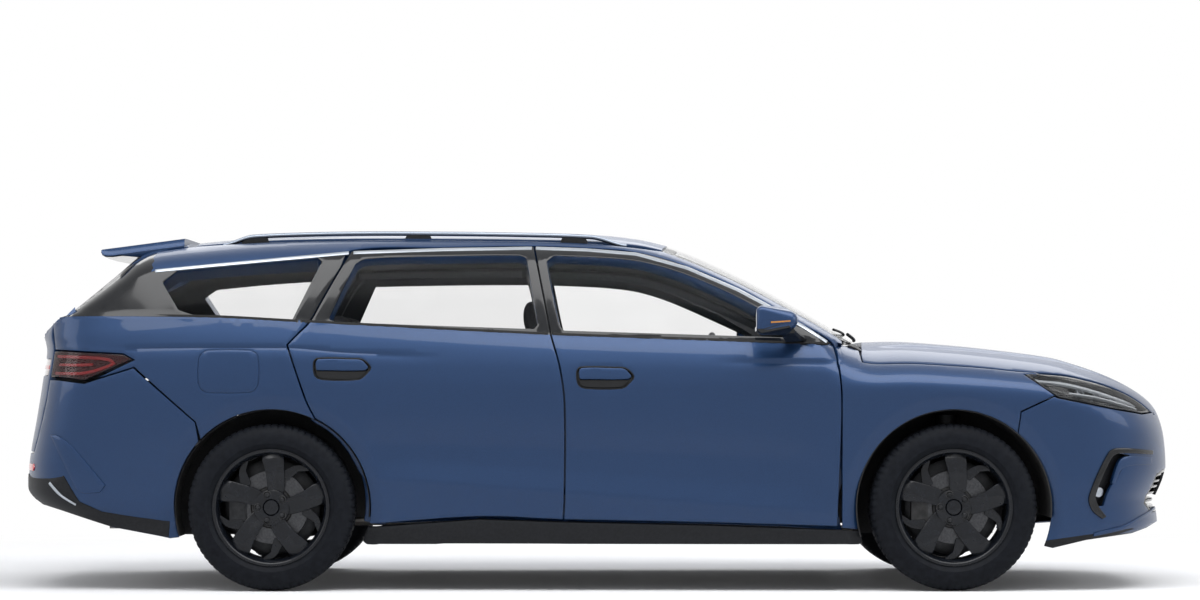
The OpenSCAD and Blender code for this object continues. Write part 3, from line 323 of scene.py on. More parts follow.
def triangulate(loops, step, roll=2.5, lines=()):
    """Points, triangles and each loop's point numbers, for a region between loops."""
    pts, edges, rings = [], [], []

    def add(loop, closed=True):
        n0 = len(pts)
        pts.extend([tuple(q) for q in loop])
        k = len(loop)
        edges.extend([(n0 + i, n0 + (i + 1) % k) for i in range(k if closed else k - 1)])
        return list(range(n0, n0 + k))
    for i, loop in enumerate(loops):
        rings.append(add(loop))
        if roll > 0:
            s = -1 if i == 0 else 1
            for d in (0.32 * roll, roll):
                add(grow(loop, s * d))
    for line in lines:
        add(line, False)
    lo, hi = loops[0].min(0), loops[0].max(0)
    nx, ny = int((hi[0] - lo[0]) / step) + 2, int((hi[1] - lo[1]) / (step * 0.9)) + 2
    gx, gy = np.meshgrid(np.arange(nx), np.arange(ny))
    grid = np.stack([lo[0] + (gx + 0.5 * (gy % 2)) * step, lo[1] + gy * step * 0.9], -1).reshape(-1, 2)
    grid = grid[even_odd(grid, loops)]
    grid = grid[distance(grid, loops) > max(roll * 1.6, step * 0.45)]
    for line in lines:
        line = np.asarray(line)
        a, b = line[:-1], line[1:]
        ab = b - a
        t = np.clip(((grid[:, None] - a) * ab).sum(-1) / np.maximum((ab * ab).sum(1), 1e-9), 0, 1)
        d = np.linalg.norm(grid[:, None] - (a + ab * t[..., None]), axis=-1).min(1)
        grid = grid[d > step * 0.4]
    pts.extend([tuple(q) for q in grid])
    res = delaunay_2d_cdt([Vector(q) for q in pts], edges, [], 0, 1e-5)
    out = np.array([tuple(q) for q in res[0]])
    faces = np.array([f for f in res[2] if len(f) == 3])
    keep = even_odd(out[faces].mean(1), loops)
    faces = faces[keep]
    a, b, c = out[faces[:, 0]], out[faces[:, 1]], out[faces[:, 2]]
    area = (b[:, 0] - a[:, 0]) * (c[:, 1] - a[:, 1]) - (b[:, 1] - a[:, 1]) * (c[:, 0] - a[:, 0])
    faces = faces[np.abs(area) > 1e-6]
    where = {}
    for new, olds in enumerate(res[3]):
        for o in olds:
            where[o] = new
    rings = [[where[i] for i in r] for r in rings]
    return out, faces, rings


# ---------------------------------------- meshes
MATERIALS = {}


def make(name, verts, faces, mats, index, angle=35):
    """Object from points in millimetres."""
    v = np.asarray(verts, float) * MM
    me = bpy.data.meshes.new(name)
    me.from_pydata([tuple(q) for q in v], [], [tuple(int(i) for i in f) for f in faces])
    for m in mats:
        me.materials.append(MATERIALS[m])
    me.polygons.foreach_set("material_index", np.asarray(index, np.int32))
    me.validate()
    me.shade_smooth()
    me.set_sharp_from_angle(angle=math.radians(angle))
    ob = bpy.data.objects.new(name, me)
    bpy.context.scene.collection.objects.link(ob)
    return ob


def rolled(d, r):
    """Depth of a rounded edge at distance d from it."""
    t = np.clip(1 - d / max(r, 1e-6), 0, 1)
    return r * (1 - np.sqrt(np.maximum(0, 1 - t * t)))


def shell(surface, loops, depth, roll=2.5, step=18.0, lean=None, lines=(), sink=0.0, pick=None, relief=None,
          side=0, inner=0):
    """Closed panel: its outer face lies on the surface, its inner face is depth deeper.
    Returns points, triangles and material numbers."""
    uv, tri, rings = triangulate(loops, step, roll, lines)
    u, v = uv[:, 0], uv[:, 1]
    p = surface(u, v)
    n = normals(surface, u, v)
    d = distance(uv, loops)
    o = rolled(d, roll) + sink
    if relief is not None:
        o = o + relief(u, v)
    outer = p - n * o[:, None]
    deep = depth(u, v) if callable(depth) else depth + 0 * u
    back = p - n * (deep + sink)[:, None]
    if lean is not None:
        back = back + lean(u, v, deep)
    # outward winding
    a, b, c = outer[tri[:, 0]], outer[tri[:, 1]], outer[tri[:, 2]]
    good = ((np.cross(b - a, c - a)) * n[tri].mean(1)).sum(-1) > 0
    tri = np.where(good[:, None], tri, tri[:, ::-1])
    k = len(uv)
    faces = [tuple(t) for t in tri] + [tuple(t[::-1] + k) for t in tri]
    centre = uv[tri].mean(1)
    index = list(pick(centre[:, 0], centre[:, 1])) if pick is not None else [0] * len(tri)
    index += [inner] * len(tri)
    directed = {}
    for t in tri:
        for i in range(3):
            directed[(t[i], t[(i + 1) % 3])] = True
    for ring in rings:
        m = len(ring)
        for i in range(m):
            a, b = ring[i], ring[(i + 1) % m]
            if a == b:
                continue
            if (a, b) in directed:
                faces.append((b, a, a + k, b + k))
                index.append(side)
            elif (b, a) in directed:
                faces.append((a, b, b + k, a + k))
                index.append(side)
    return np.concatenate([outer, back]), faces, index


def join_parts(parts):
    """Several (points, faces, material numbers) as one."""
    pts, faces, index, n = [], [], [], 0
    for p, f, i in parts:
        pts.append(p)
        faces += [tuple(int(q) + n for q in g) for g in f]
        index += list(i)
        n += len(p)
    return np.concatenate(pts), faces, index


def mirrored(part):
    p, f, i = part
    return p * np.array([1, -1, 1]), [tuple(reversed(g)) for g in f], i


def add(name, parts, mats, body, replaces=(), slot=None, angle=35):
    """Piece made of parts, riding on a body and standing for CAD nodes."""
    p, f, i = join_parts(parts)
    ob = make(name, p, f, mats, i, angle)
    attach(ob, body)
    if replaces:
        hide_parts(*replaces)
    return ob

# ---------------------------------------- mapping of outlines given in real positions
def to_inner(x_real, z):
    """Table station whose skin lies at the real X, at height z."""
    x_real, z = np.asarray(x_real, float), np.asarray(z, float)
    x = x_real + 0 * z
    up = z > belt(x)
    for _ in range(16):
        y = skin_y(x, z)
        s = np.where(up, cabin_shift(x, y), lower_shift(x, z))
        x = x + 0.7 * (x_real - s - x)
        up = z > belt(x)
    return x


def side_real(x, z):
    return side_at(to_inner(x, z), z)


def turn_c(x_real, z, x0, sign):
    """Plan angle of the nose or tail surface for a point of the side view."""
    x = to_inner(x_real, z)
    return 900 * np.arctan2(lower_y(x, z), sign * (x - x0))


def nose_loop(points):
    p = np.array(points, float)
    return np.stack([turn_c(p[:, 0], p[:, 1], 1500.0, 1), p[:, 1]], 1)


def tail_loop(points):
    p = np.array(points, float)
    return np.stack([turn_c(p[:, 0], p[:, 1], -1560.0, -1), p[:, 1]], 1)


def c_of_y(surface, y, z):
    """Plan angle at which the surface is y from the middle."""
    y, z = np.broadcast_arrays(np.asarray(y, float), np.asarray(z, float))
    cs = np.arange(0, 1261, 15.0)
    c, h = np.broadcast_arrays(cs[None, :], z.ravel()[:, None])
    rows = surface(c.ravel(), h.ravel())[:, 1].reshape(c.shape)
    out = np.array([np.interp(abs(q), row, cs) for q, row in zip(y.ravel(), rows)]).reshape(y.shape)
    return np.sign(y) * out


def bonnet_real(x, y):
    u = x + 0.0
    for _ in range(5):
        p = bonnet_at(u, y)
        u = u + 0.8 * (x - p[..., 0])
    return bonnet_at(u, y)


def roof_real(x, y):
    return roof_at(x - cabin_shift(x - cabin_shift(x, np.abs(y)), np.abs(y)), y)


def both_halves(half):
    """Closed outline from its left half, by changing the sign of the second coordinate."""
    h = np.asarray(half, float)
    return np.concatenate([h, (h * np.array([1, -1]))[::-1]])


def both_c(half):
    h = np.asarray(half, float)
    return np.concatenate([h, (h * np.array([-1, 1]))[::-1]])


def arc(cx, cz, r, a0, a1, step=3.0):
    a = np.radians(np.arange(a0, a1 + (1e-6 if a1 > a0 else -1e-6), step if a1 > a0 else -step))
    return [[cx + r * math.cos(t), cz + r * math.sin(t)] for t in a]


def refine(points, step=14.0, closed=True):
    p = np.asarray(points, float)
    out = []
    n = len(p)
    for i in range(n if closed else n - 1):
        a, b = p[i], p[(i + 1) % n]
        k = max(1, int(round(np.linalg.norm(b - a) / step)))
        for j in range(k):
            out.append(a + (b - a) * j / k)
    if not closed:
        out.append(p[-1])
    return np.array(out)


# ---------------------------------------- materials
def material(name, build):
    m = bpy.data.materials.new(name)
    m.use_nodes = True
    nt = m.node_tree
    nt.nodes.clear()
    out = nt.nodes.new("ShaderNodeOutputMaterial")
    shader = nt.nodes.new("ShaderNodeBsdfPrincipled")
    nt.links.new(shader.outputs[0], out.inputs[0])
    build(nt, shader)
    MATERIALS[name] = m
    return m


def node(nt, kind, **values):
    n = nt.nodes.new(kind)
    for key, value in values.items():
        if key in n.inputs:
            n.inputs[key].default_value = value
        else:
            setattr(n, key, value)
    return n


def place(nt, scale=(1, 1, 1)):
    c = node(nt, "ShaderNodeTexCoord")
    m = node(nt, "ShaderNodeMapping")
    m.inputs["Scale"].default_value = scale
    nt.links.new(c.outputs["Object"], m.inputs["Vector"])
    return m.outputs["Vector"]


def noise(nt, scale, detail=3.0, rough=0.5, stretch=(1, 1, 1)):
    n = node(nt, "ShaderNodeTexNoise", Scale=scale, Detail=detail, Roughness=rough)
    nt.links.new(place(nt, stretch), n.inputs["Vector"])
    return n.outputs["Fac"]


def two_tone(nt, fac, a, b, low=0.35, high=0.65):
    r = node(nt, "ShaderNodeValToRGB")
    r.color_ramp.elements[0].position, r.color_ramp.elements[1].position = low, high
    r.color_ramp.elements[0].color = (*a, 1)
    r.color_ramp.elements[1].color = (*b, 1)
    nt.links.new(fac, r.inputs["Fac"])
    return r.outputs["Color"]


def spread(nt, fac, a, b):
    r = node(nt, "ShaderNodeMapRange")
    r.inputs["To Min"].default_value, r.inputs["To Max"].default_value = a, b
    nt.links.new(fac, r.inputs["Value"])
    return r.outputs["Result"]


def bumped(nt, shader, fac, strength=0.2, depth=0.001):
    b = node(nt, "ShaderNodeBump", Strength=strength, Distance=depth)
    nt.links.new(fac, b.inputs["Height"])
    nt.links.new(b.outputs["Normal"], shader.inputs["Normal"])
    return b


def simple(name, a, b, rough=(0.4, 0.5), scale=60, metal=0.0, bump=0.1, depth=0.0006, coat=0.0, grain=None,
           spec=None, stretch=(1, 1, 1)):
    """Two close colours in a noise, with its own roughness spread and a fine grain."""
    def build(nt, s):
        f = noise(nt, scale, 4, 0.55, stretch)
        nt.links.new(two_tone(nt, f, a, b), s.inputs["Base Color"])
        nt.links.new(spread(nt, f, *rough), s.inputs["Roughness"])
        s.inputs["Metallic"].default_value = metal
        s.inputs["Coat Weight"].default_value = coat
        s.inputs["Coat Roughness"].default_value = 0.04
        if spec is not None:
            s.inputs["Specular IOR Level"].default_value = spec
        if bump:
            bumped(nt, s, noise(nt, grain or scale * 6, 2, 0.5, stretch), bump, depth)
    return material(name, build)


def build_paint(nt, s):
    # metallic flake under a clear coat
    flake = node(nt, "ShaderNodeTexVoronoi", Scale=1400.0)
    nt.links.new(place(nt), flake.inputs["Vector"])
    tint = two_tone(nt, flake.outputs["Color"], (0.006, 0.027, 0.085), (0.014, 0.047, 0.126), 0.2, 0.9)
    nt.links.new(tint, s.inputs["Base Color"])
    s.inputs["Metallic"].default_value = 0.5
    s.inputs["Specular IOR Level"].default_value = 0.3
    nt.links.new(spread(nt, flake.outputs["Distance"], 0.36, 0.46), s.inputs["Roughness"])
    s.inputs["Coat Weight"].default_value = 0.35
    s.inputs["Coat Roughness"].default_value = 0.03
    s.inputs["Coat IOR"].default_value = 1.5
    bumped(nt, s, flake.outputs["Distance"], 0.02, 0.0003)


material("paint", build_paint)
simple("gloss_black", (0.004, 0.005, 0.007), (0.007, 0.008, 0.010), (0.10, 0.16), 30, coat=0.25, bump=0.01,
       spec=0.25)
simple("black_plastic", (0.006, 0.0068, 0.0085), (0.011, 0.012, 0.0145), (0.48, 0.62), 90, bump=0.25,
       depth=0.0004, grain=1800, spec=0.22)
simple("seal_rubber", (0.008, 0.008, 0.008), (0.014, 0.014, 0.014), (0.6, 0.75), 80, bump=0.1, spec=0.2)
simple("bright_trim", (0.34, 0.37, 0.41), (0.42, 0.45, 0.49), (0.30, 0.40), 40, metal=1.0, bump=0.03,
       stretch=(0.1, 1, 1))
simple("rail_silver", (0.20, 0.23, 0.28), (0.26, 0.29, 0.34), (0.28, 0.38), 30, metal=0.9, bump=0.03,
       stretch=(0.1, 1, 1))
simple("mirror_glass", (0.55, 0.57, 0.60), (0.62, 0.64, 0.66), (0.02, 0.05), 8, metal=1.0, bump=0)
simple("amber_lens", (0.42, 0.16, 0.02), (0.50, 0.20, 0.03), (0.12, 0.2), 160, bump=0.2, coat=0.6)
simple("liner_felt", (0.010, 0.010, 0.011), (0.020, 0.020, 0.021), (0.85, 0.95), 140, bump=0.5, depth=0.002,
       grain=500)
simple("inner_trim", (0.030, 0.031, 0.034), (0.044, 0.045, 0.049), (0.5, 0.62), 60, bump=0.3, depth=0.0005,
       grain=1200, spec=0.25)
simple("cast_iron", (0.028, 0.028, 0.029), (0.050, 0.050, 0.051), (0.45, 0.62), 45, metal=0.85, bump=0.3,
       depth=0.0008, grain=400)
simple("forged_steel", (0.018, 0.019, 0.021), (0.034, 0.035, 0.038), (0.4, 0.55), 35, metal=0.8, bump=0.25,
       depth=0.0008, grain=300)
simple("disc_steel", (0.045, 0.046, 0.050), (0.075, 0.077, 0.082), (0.24, 0.36), 120, metal=1.0, bump=0.08,
       depth=0.0003)
simple("underbody", (0.020, 0.021, 0.022), (0.034, 0.035, 0.036), (0.65, 0.85), 25, bump=0.5, depth=0.002,
       grain=160)
simple("alloy_black", (0.0035, 0.0045, 0.0070), (0.0060, 0.0075, 0.0110), (0.20, 0.28), 40, coat=0.12,
       bump=0.02, spec=0.22)
simple("headlining", (0.20, 0.20, 0.205), (0.26, 0.26, 0.262), (0.85, 0.95), 160, bump=0.4, depth=0.0008,
       grain=900)


def build_tyre(nt, s):
    f = noise(nt, 40, 5, 0.6)
    nt.links.new(two_tone(nt, f, (0.0045, 0.0055, 0.0080), (0.0085, 0.0100, 0.0135)), s.inputs["Base Color"])
    nt.links.new(spread(nt, f, 0.52, 0.68), s.inputs["Roughness"])
    s.inputs["Specular IOR Level"].default_value = 0.10
    bumped(nt, s, noise(nt, 900, 3), 0.25, 0.0006)


material("tyre_rubber", build_tyre)


def thin_glass(name, colour, clear, rough=0.02):
    """Tinted sheet: mostly lets light straight through, with the glass's own reflections."""
    m = bpy.data.materials.new(name)
    m.use_nodes = True
    nt = m.node_tree
    nt.nodes.clear()
    out = nt.nodes.new("ShaderNodeOutputMaterial")
    shader = nt.nodes.new("ShaderNodeBsdfPrincipled")
    f = noise(nt, 5, 2)
    nt.links.new(two_tone(nt, f, colour, tuple(c * 1.1 for c in colour)), shader.inputs["Base Color"])
    shader.inputs["Roughness"].default_value = rough
    shader.inputs["IOR"].default_value = 1.5
    nt.links.new(spread(nt, f, 1 - clear, 1 - clear * 0.97), shader.inputs["Alpha"])
    nt.links.new(shader.outputs[0], out.inputs[0])
    MATERIALS[name] = m
    return m


thin_glass("clear_glass", (0.012, 0.020, 0.022), 0.975)
thin_glass("dark_glass", (0.004, 0.006, 0.008), 0.96)
thin_glass("screen_glass", (0.012, 0.020, 0.024), 0.86)
thin_glass("lamp_cover", (0.02, 0.022, 0.024), 0.82)

# ---------------------------------------- outlines of the panels, in side view
DOOR_SPLIT = [[-275, 1419], [-258, 1330], [-236, 1220], [-219, 1133], [-202, 1046], [-165, 911], [-146, 764],
              [-146, 388], [-151, 290]]
FRONT_DOOR = ([[985, 805], [985, 659], [970, 262], [407, 279]] + DOOR_SPLIT[::-1]
              + [[151, 1394], [362, 1335], [573, 1243], [687, 1180], [830, 1092], [958, 1009], [975, 919]])
REAR_ARC = [[-1345 + 404 * math.cos(math.radians(a)), 341 + 404 * math.sin(math.radians(a))]
            for a in range(-10, 64, 4)]
REAR_DOOR = DOOR_SPLIT + [[-497, 302]] + REAR_ARC + [[-1166, 706], [-1199, 774],
                          [-1280, 1005], [-1236, 1052], [-1191, 1100], [-1150, 1176], [-1110, 1251],
                          [-1070, 1326], [-1031, 1398], [-650, 1412]]
FRONT_WINDOW = [[-222, 1352], [-172, 1100], [-150, 1066], [812, 1036], [700, 1128], [500, 1238], [300, 1318],
                [120, 1360], [-190, 1378]]
REAR_WINDOW = [[-1112, 1112], [-1084, 1102], [-272, 1072], [-256, 1092], [-306, 1366], [-334, 1378],
               [-650, 1374], [-970, 1362], [-1010, 1340]]
QUARTER_WINDOW = [[-1262, 1110], [-1150, 1352], [-1170, 1368], [-1500, 1342], [-1740, 1314], [-1800, 1262],
                  [-1730, 1150], [-1660, 1130]]
TAILGATE_LINE = [[0, 556], [120, 568], [266, 590], [398, 630], [652, 698], [747, 722], [797, 735], [882, 738],
                 [1026, 702], [1131, 640], [1180, 600]]
BONNET_LINE = [[1118, 0], [1112, 250], [1095, 480], [1084, 650], [1076, 760], [1076, 832], [1238, 832],
               [1400, 832], [1549, 828], [1716, 822], [1830, 802], [1928, 770], [2010, 736], [2088, 700],
               [2157, 665], [2220, 624], [2278, 570], [2311, 522], [2335, 462], [2352, 300], [2362, 0]]
SHUT, SEAT = 6.0, 0.4
HINGE_X, HINGE_Z = -1693.0, 1452.0
DOOR_DEPTH, FRAME_DEPTH, PANEL_DEPTH = 80.0, 44.0, 22.0


def wall_depth(x, z):
    """Thickness of the doors and side walls: thick below the glass, thinner in the frames."""
    return DOOR_DEPTH + (FRAME_DEPTH - DOOR_DEPTH) * ramp(0, 60, z - belt(x) + 8)


def belt_line(x0, x1, step=18):
    x = np.linspace(x0, x1, max(2, int(abs(x1 - x0) / step)))
    return np.stack([x, belt(x)], 1)

# ---------------------------------------- doors
HANDLES = {"front": (20, 872), "rear": (-1054, 908)}


def handle_loop(cx, cz, grow_by=0.0):
    """Outline of the flush handle's pocket."""
    p = [[-118, 26], [-104, 44], [40, 44], [84, 40], [119, 4], [96, -28], [70, -46], [-84, -46], [-112, -30]]
    p = smooth([[cx + a, cz + b] for a, b in p], sharp=80, step=14)
    return grow(p, grow_by) if grow_by else p


def lean_toward_front(edge, amount):
    """Shift of the inner face: the rear edge leans forward inboard, so that the door swings clear."""
    line = smooth(edge, closed=False, step=12)

    def lean(x, z, deep):
        q = np.stack([x, z], 1)
        a, b = line[:-1], line[1:]
        ab = b - a
        t = np.clip(((q[:, None] - a) * ab).sum(-1) / (ab * ab).sum(1), 0, 1)
        d = np.linalg.norm(q[:, None] - (a + ab * t[..., None]), axis=-1).min(1)
        s = np.zeros((len(x), 3))
        s[:, 0] = amount * deep * (1 - ramp(10, 150, d))
        return s
    return lean


def strip_z(x):
    """Height of the top of the dark window band, where the bright strip lies."""
    return np.interp(x, [-1836, -1031, -650, -275, -60, 151, 362, 573, 687, 830, 958],
                     [1321, 1398, 1412, 1419, 1412, 1394, 1335, 1243, 1180, 1092, 1009])


def crease_relief(x, z):
    """Sharp shoulder crease: a shallow step under the bright top surface, at the rear and at the front."""
    a = (1 - ramp(-900, -560, x)) * ramp(-2060, -1900, x)
    b = ramp(420, 700, x) * (1 - ramp(1040, 1070, x))
    steps = [-44, -20, -8, 0]
    depth = [0, 2.2, 4.2, 0]
    return (a * np.interp(z - curve(x, CREASE_REAR), steps, depth, 0, 0)
            + b * np.interp(z - curve(x, CREASE_FRONT), steps, depth, 0, 0))


CREASE_REAR = [[-1945, 998], [-1600, 1001], [-1288, 1001], [-1038, 982], [-655, 968]]
CREASE_FRONT = [[400, 950], [590, 947], [820, 944], [975, 941], [1076, 937]]


def door_part(outline, window, handle, rear_edge, amount, x0, x1, sharp):
    outer = grow(smooth(outline, sharp=sharp, radius=10, step=15), -SHUT / 2)
    hole = smooth(window, sharp=30, radius=16, step=15)
    hole = grow(hole, SEAT)
    pocket = handle_loop(*handle)
    lines = [belt_line(x0, x1, 18)]
    crease = CREASE_REAR if handle[0] < -500 else CREASE_FRONT
    cx = np.arange(max(x0, crease[0][0] + 5), min(x1, crease[-1][0] - 5), 16)
    lines.append(np.stack([cx, curve(cx, crease)], 1))
    for drop in (8, 20):
        lines.append(np.stack([cx, curve(cx, crease) - drop], 1))
    lean = lean_toward_front(rear_edge, amount)

    def pick(x, z):
        return np.where(z > belt(x) + 0.5, 1, 0)
    body = shell(side_real, [outer, hole, pocket], wall_depth, roll=3.0, step=17, lean=lean, lines=lines,
                 pick=pick, relief=crease_relief, side=0, inner=2)
    return body


def pocket_parts(cx, cz):
    """Handle pocket: a bowl behind the opening and the flush handle over its upper half."""
    loop = handle_loop(cx, cz)
    parts = []
    bowl = shell(side_real, [loop], 12, roll=1.0, step=14, sink=26.0)
    rim_out, rim_in = loop, grow(loop, -4)
    wall = shell(side_real, [rim_out, rim_in], 26, roll=1.2, step=14, sink=1.2)
    parts += [(bowl, 1), (wall, 1)]
    grip = [[-108, 22], [-98, 39], [38, 39], [80, 35], [108, 6], [96, -6], [-104, -6]]
    grip = smooth([[cx + a, cz + b] for a, b in grip], sharp=80, step=12)
    parts.append((shell(side_real, [grip], 9, roll=3.0, step=12, sink=1.0), 0))
    lower = [[-108, -4], [100, -4], [88, -24], [64, -40], [-80, -40], [-104, -28]]
    lower = smooth([[cx + a, cz + b] for a, b in lower], sharp=60, step=12)
    parts.append((shell(side_real, [lower], 6, roll=2.0, step=12, sink=16.0), 1))
    out = []
    for part, m in parts:
        p, f, i = part
        out.append((p, f, [m] * len(f)))
    return out


def pane(outline, sink, thick=6.0, surface=side_real, step=22, sharp=30, radius=14):
    loop = smooth(outline, sharp=sharp, radius=radius, step=16)
    return shell(surface, [loop], thick, roll=0.8, step=step, sink=sink)


def sweep_strip(x0, x1, zfun, width, proud, thick, step=14, surface=side_real):
    """Raised strip that follows a line on the side."""
    x = np.arange(x0, x1 + 0.1, (x1 - x0) / max(2, int((x1 - x0) / step)))
    z = zfun(x)
    e = np.gradient(z, x)
    n = np.stack([-e, np.ones_like(e)], 1) / np.sqrt(1 + e * e)[:, None]
    mid = np.stack([x, z], 1)
    top, low = mid + n * width / 2, mid - n * width / 2
    loop = np.concatenate([low, top[::-1]])
    return shell(surface, [loop], thick, roll=min(2.4, width * 0.3), step=step * 2, sink=-proud)


def on_both(part):
    return [part, mirrored(part)]


def recolour(part, m):
    p, f, i = part
    return p, f, [m] * len(f)


PAINTED = ["paint", "gloss_black", "inner_trim", "bright_trim", "seal_rubber", "black_plastic"]
door_shapes = {
    "front": door_part(FRONT_DOOR, FRONT_WINDOW, HANDLES["front"], DOOR_SPLIT, 0.22, -300, 990, 40),
    "rear": door_part(REAR_DOOR, REAR_WINDOW, HANDLES["rear"], REAR_DOOR[10:-2], 0.30, -1300, -150, 40),
}
door_strips = {
    "front": sweep_strip(-268, 930, lambda x: strip_z(x) - 10, 13, 2.5, 8),
    "rear": sweep_strip(-1022, -284, lambda x: strip_z(x) - 10, 13, 2.5, 8),
}
door_seals = {
    "front": sweep_strip(-195, 935, lambda x: belt(x) + 4, 11, 1.2, 8),
    "rear": sweep_strip(-1225, -214, lambda x: belt(x) + 4, 11, 1.2, 8),
}
for where, window_line in (("front", FRONT_WINDOW), ("rear", REAR_WINDOW)):
    panel = door_shapes[where]
    extra = pocket_parts(*HANDLES[where])
    parts = [panel] + extra
    parts.append(recolour(door_strips[where], 3))
    parts.append(recolour(door_seals[where], 4))
    glass_part = pane(window_line, 3.0)
    for side, flip in (("left", False), ("right", True)):
        body = f"{side}_{where}_door"
        these = [mirrored(q) for q in parts] if flip else parts
        add(f"{where}_door_{side}_skin", these, PAINTED, body, [f"{where}_door_{side}"], "blue_paint")
        one = mirrored(glass_part) if flip else glass_part
        add(f"{where}_door_{side}_glass", [one], ["clear_glass" if where == "front" else "dark_glass"], body,
            [f"{where}_window_{side}"], "clear_glass" if where == "front" else "dark_glass")

# ---------------------------------------- body sides
RAIL_EDGE = [[975, 1042], [930, 1071], [700, 1201], [540, 1283], [400, 1345], [260, 1400], [0, 1430],
             [-300, 1442], [-900, 1447], [-1400, 1436], [-1692, 1421]]
TAIL_EDGE = [[-1700, 1420], [-1846, 1396], [-1956, 1338], [-2058, 1279], [-2132, 1220], [-2204, 1160],
             [-2248, 1122], [-2270, 1095], [-2258, 1050], [-2252, 987]]
FLAP = [[-1640, 848], [-1628, 822], [-1602, 810], [-1432, 810], [-1406, 822], [-1394, 848], [-1394, 946],
        [-1406, 972], [-1432, 984], [-1602, 984], [-1628, 972], [-1640, 946]]


def side_region():
    outer = arc(AXLE_REAR, AXLE_Z, ARCH_R, 64, 138)
    outer += [[-1649, 690], [-1905, 916], [-2060, 868], [-1902, 944], [-1950, 971], [-2235, 987]]
    outer += TAIL_EDGE[::-1]
    outer += RAIL_EDGE[::-1]
    outer += [[998, 1024], [998, 1000], [998, 940], [980, 915]]
    door = [[975, 919], [958, 1009], [830, 1092], [687, 1180], [573, 1243], [362, 1335], [151, 1394],
            [-60, 1412], [-275, 1419], [-650, 1412], [-1031, 1398], [-1070, 1326], [-1110, 1251],
            [-1150, 1176], [-1191, 1100], [-1236, 1052], [-1280, 1005], [-1240, 890], [-1199, 774],
            [-1166, 706]]
    line = smooth(door, sharp=60, closed=False, step=15)
    e = np.gradient(line, axis=0)
    e /= np.linalg.norm(e, axis=1, keepdims=True)
    line = line + 3.0 * np.stack([e[:, 1], -e[:, 0]], 1)
    return np.concatenate([refine(outer, 15, False), line[1:]])


def side_black(x, z):
    return np.where(x < -1846, 1600.0, strip_z(x) - 9)


body_loop = side_region()
if ring_area(body_loop) < 0:
    body_loop = body_loop[::-1]
quarter = grow(smooth(QUARTER_WINDOW, sharp=30, radius=14, step=15), SEAT)
side_lines = [belt_line(-2240, -1262, 18)]
qx = np.arange(-1836, -1060, 18.0)
side_lines.append(np.stack([qx, strip_z(qx) - 9], 1))
cx = np.arange(-1940, -1275, 16.0)
side_lines.append(np.stack([cx, curve(cx, CREASE_REAR)], 1))
side_lines += [np.stack([cx, curve(cx, CREASE_REAR) - drop], 1) for drop in (8, 20)]


def side_pick(x, z):
    black = (z > belt(x) + 0.5) & (z < side_black(x, z)) & (x < -700)
    return np.where(black, 1, 0)


flap_loop = smooth(FLAP, sharp=50, step=14)
side_plain = shell(side_real, [body_loop, quarter], 82, roll=3.0, step=17, lines=side_lines, pick=side_pick,
                   relief=crease_relief, inner=2)
side_flap = shell(side_real, [body_loop, quarter, flap_loop], 82, roll=3.0, step=17, lines=side_lines,
                  pick=side_pick, relief=crease_relief, inner=2)
union = np.array(FRONT_DOOR[:5] + [[-151, 290], [-497, 302]] + REAR_ARC + [[-1166, 706], [-1199, 774],
                                                                           [-1280, 1005], [-1236, 1052],
                                                                           [-1191, 1100], [-1150, 1176],
                                                                           [-1110, 1251], [-1070, 1326],
                                                                           [-1031, 1398], [-650, 1412],
                                                                           [-275, 1419], [151, 1394],
                                                                           [362, 1335], [573, 1243],
                                                                           [687, 1180], [830, 1092],
                                                                           [958, 1009], [975, 919]], float)
union = np.array([q for i, q in enumerate(union) if i == 0 or np.linalg.norm(q - union[i - 1]) > 1])
frame_ring = shell(side_real, [grow(refine(union, 20), 24), grow(smooth(FRONT_DOOR, sharp=40, radius=10),
                                                                 -40), grow(smooth(REAR_DOOR, sharp=40,
                                                                                   radius=10), -40)], 40,
                   roll=4, step=30, sink=84, pick=lambda x, z: np.where(z > belt(x) - 30, 2, 0), side=2,
                   inner=2)
ring_seals = [shell(side_real, [grow(smooth(d, sharp=40, radius=10), -30), grow(smooth(d, sharp=40,
                                                                                       radius=10), -41)], 12,
                    roll=5, step=24, sink=76) for d in (FRONT_DOOR, REAR_DOOR)]
quarter_strip = sweep_strip(-1836, -1040, lambda x: strip_z(x) - 10, 13, 2.5, 8)
quarter_seal = sweep_strip(-2215, -1240, lambda x: belt(x) + 4, 11, 1.2, 8)
pocket = [recolour(shell(side_real, [flap_loop], 20, roll=1, step=30, sink=30), 5), recolour(shell(side_real,
                                                                                                   [flap_loop, grow(flap_loop, -5)], 30, roll=1.2, step=30, sink=2), 0), recolour(shell(side_real, [np.array(arc(-1500, 895, 42, 0, 357, 12)), np.array(arc(-1500, 895, 30, 0, 357, 12))], 16, roll=2, step=16, sink=14), 5)]


def side_parts(plain, right):
    parts = [plain, frame_ring, recolour(quarter_strip, 3), recolour(quarter_seal, 4)]
    parts += [recolour(q, 4) for q in ring_seals]
    if right:
        parts += pocket
    return [mirrored(q) for q in parts] if right else parts


add("body_side_left_skin", side_parts(side_plain, False), PAINTED, "body", ["body_sides"], "blue_paint")
add("body_side_right_skin", side_parts(side_flap, True), PAINTED, "body", ["body_sides"], "blue_paint")
quarter_pane = pane(QUARTER_WINDOW, 3.0)
add("quarter_panes", on_both(quarter_pane), ["dark_glass"], "body", ["quarter_windows"], "dark_glass")
flap_part = shell(side_real, [grow(flap_loop, -SHUT / 2)], 8, roll=2.4, step=22)
add("fuel_flap_skin", [mirrored(flap_part)], ["paint"], "charging_flap", ["fuel_flap"], "blue_paint")

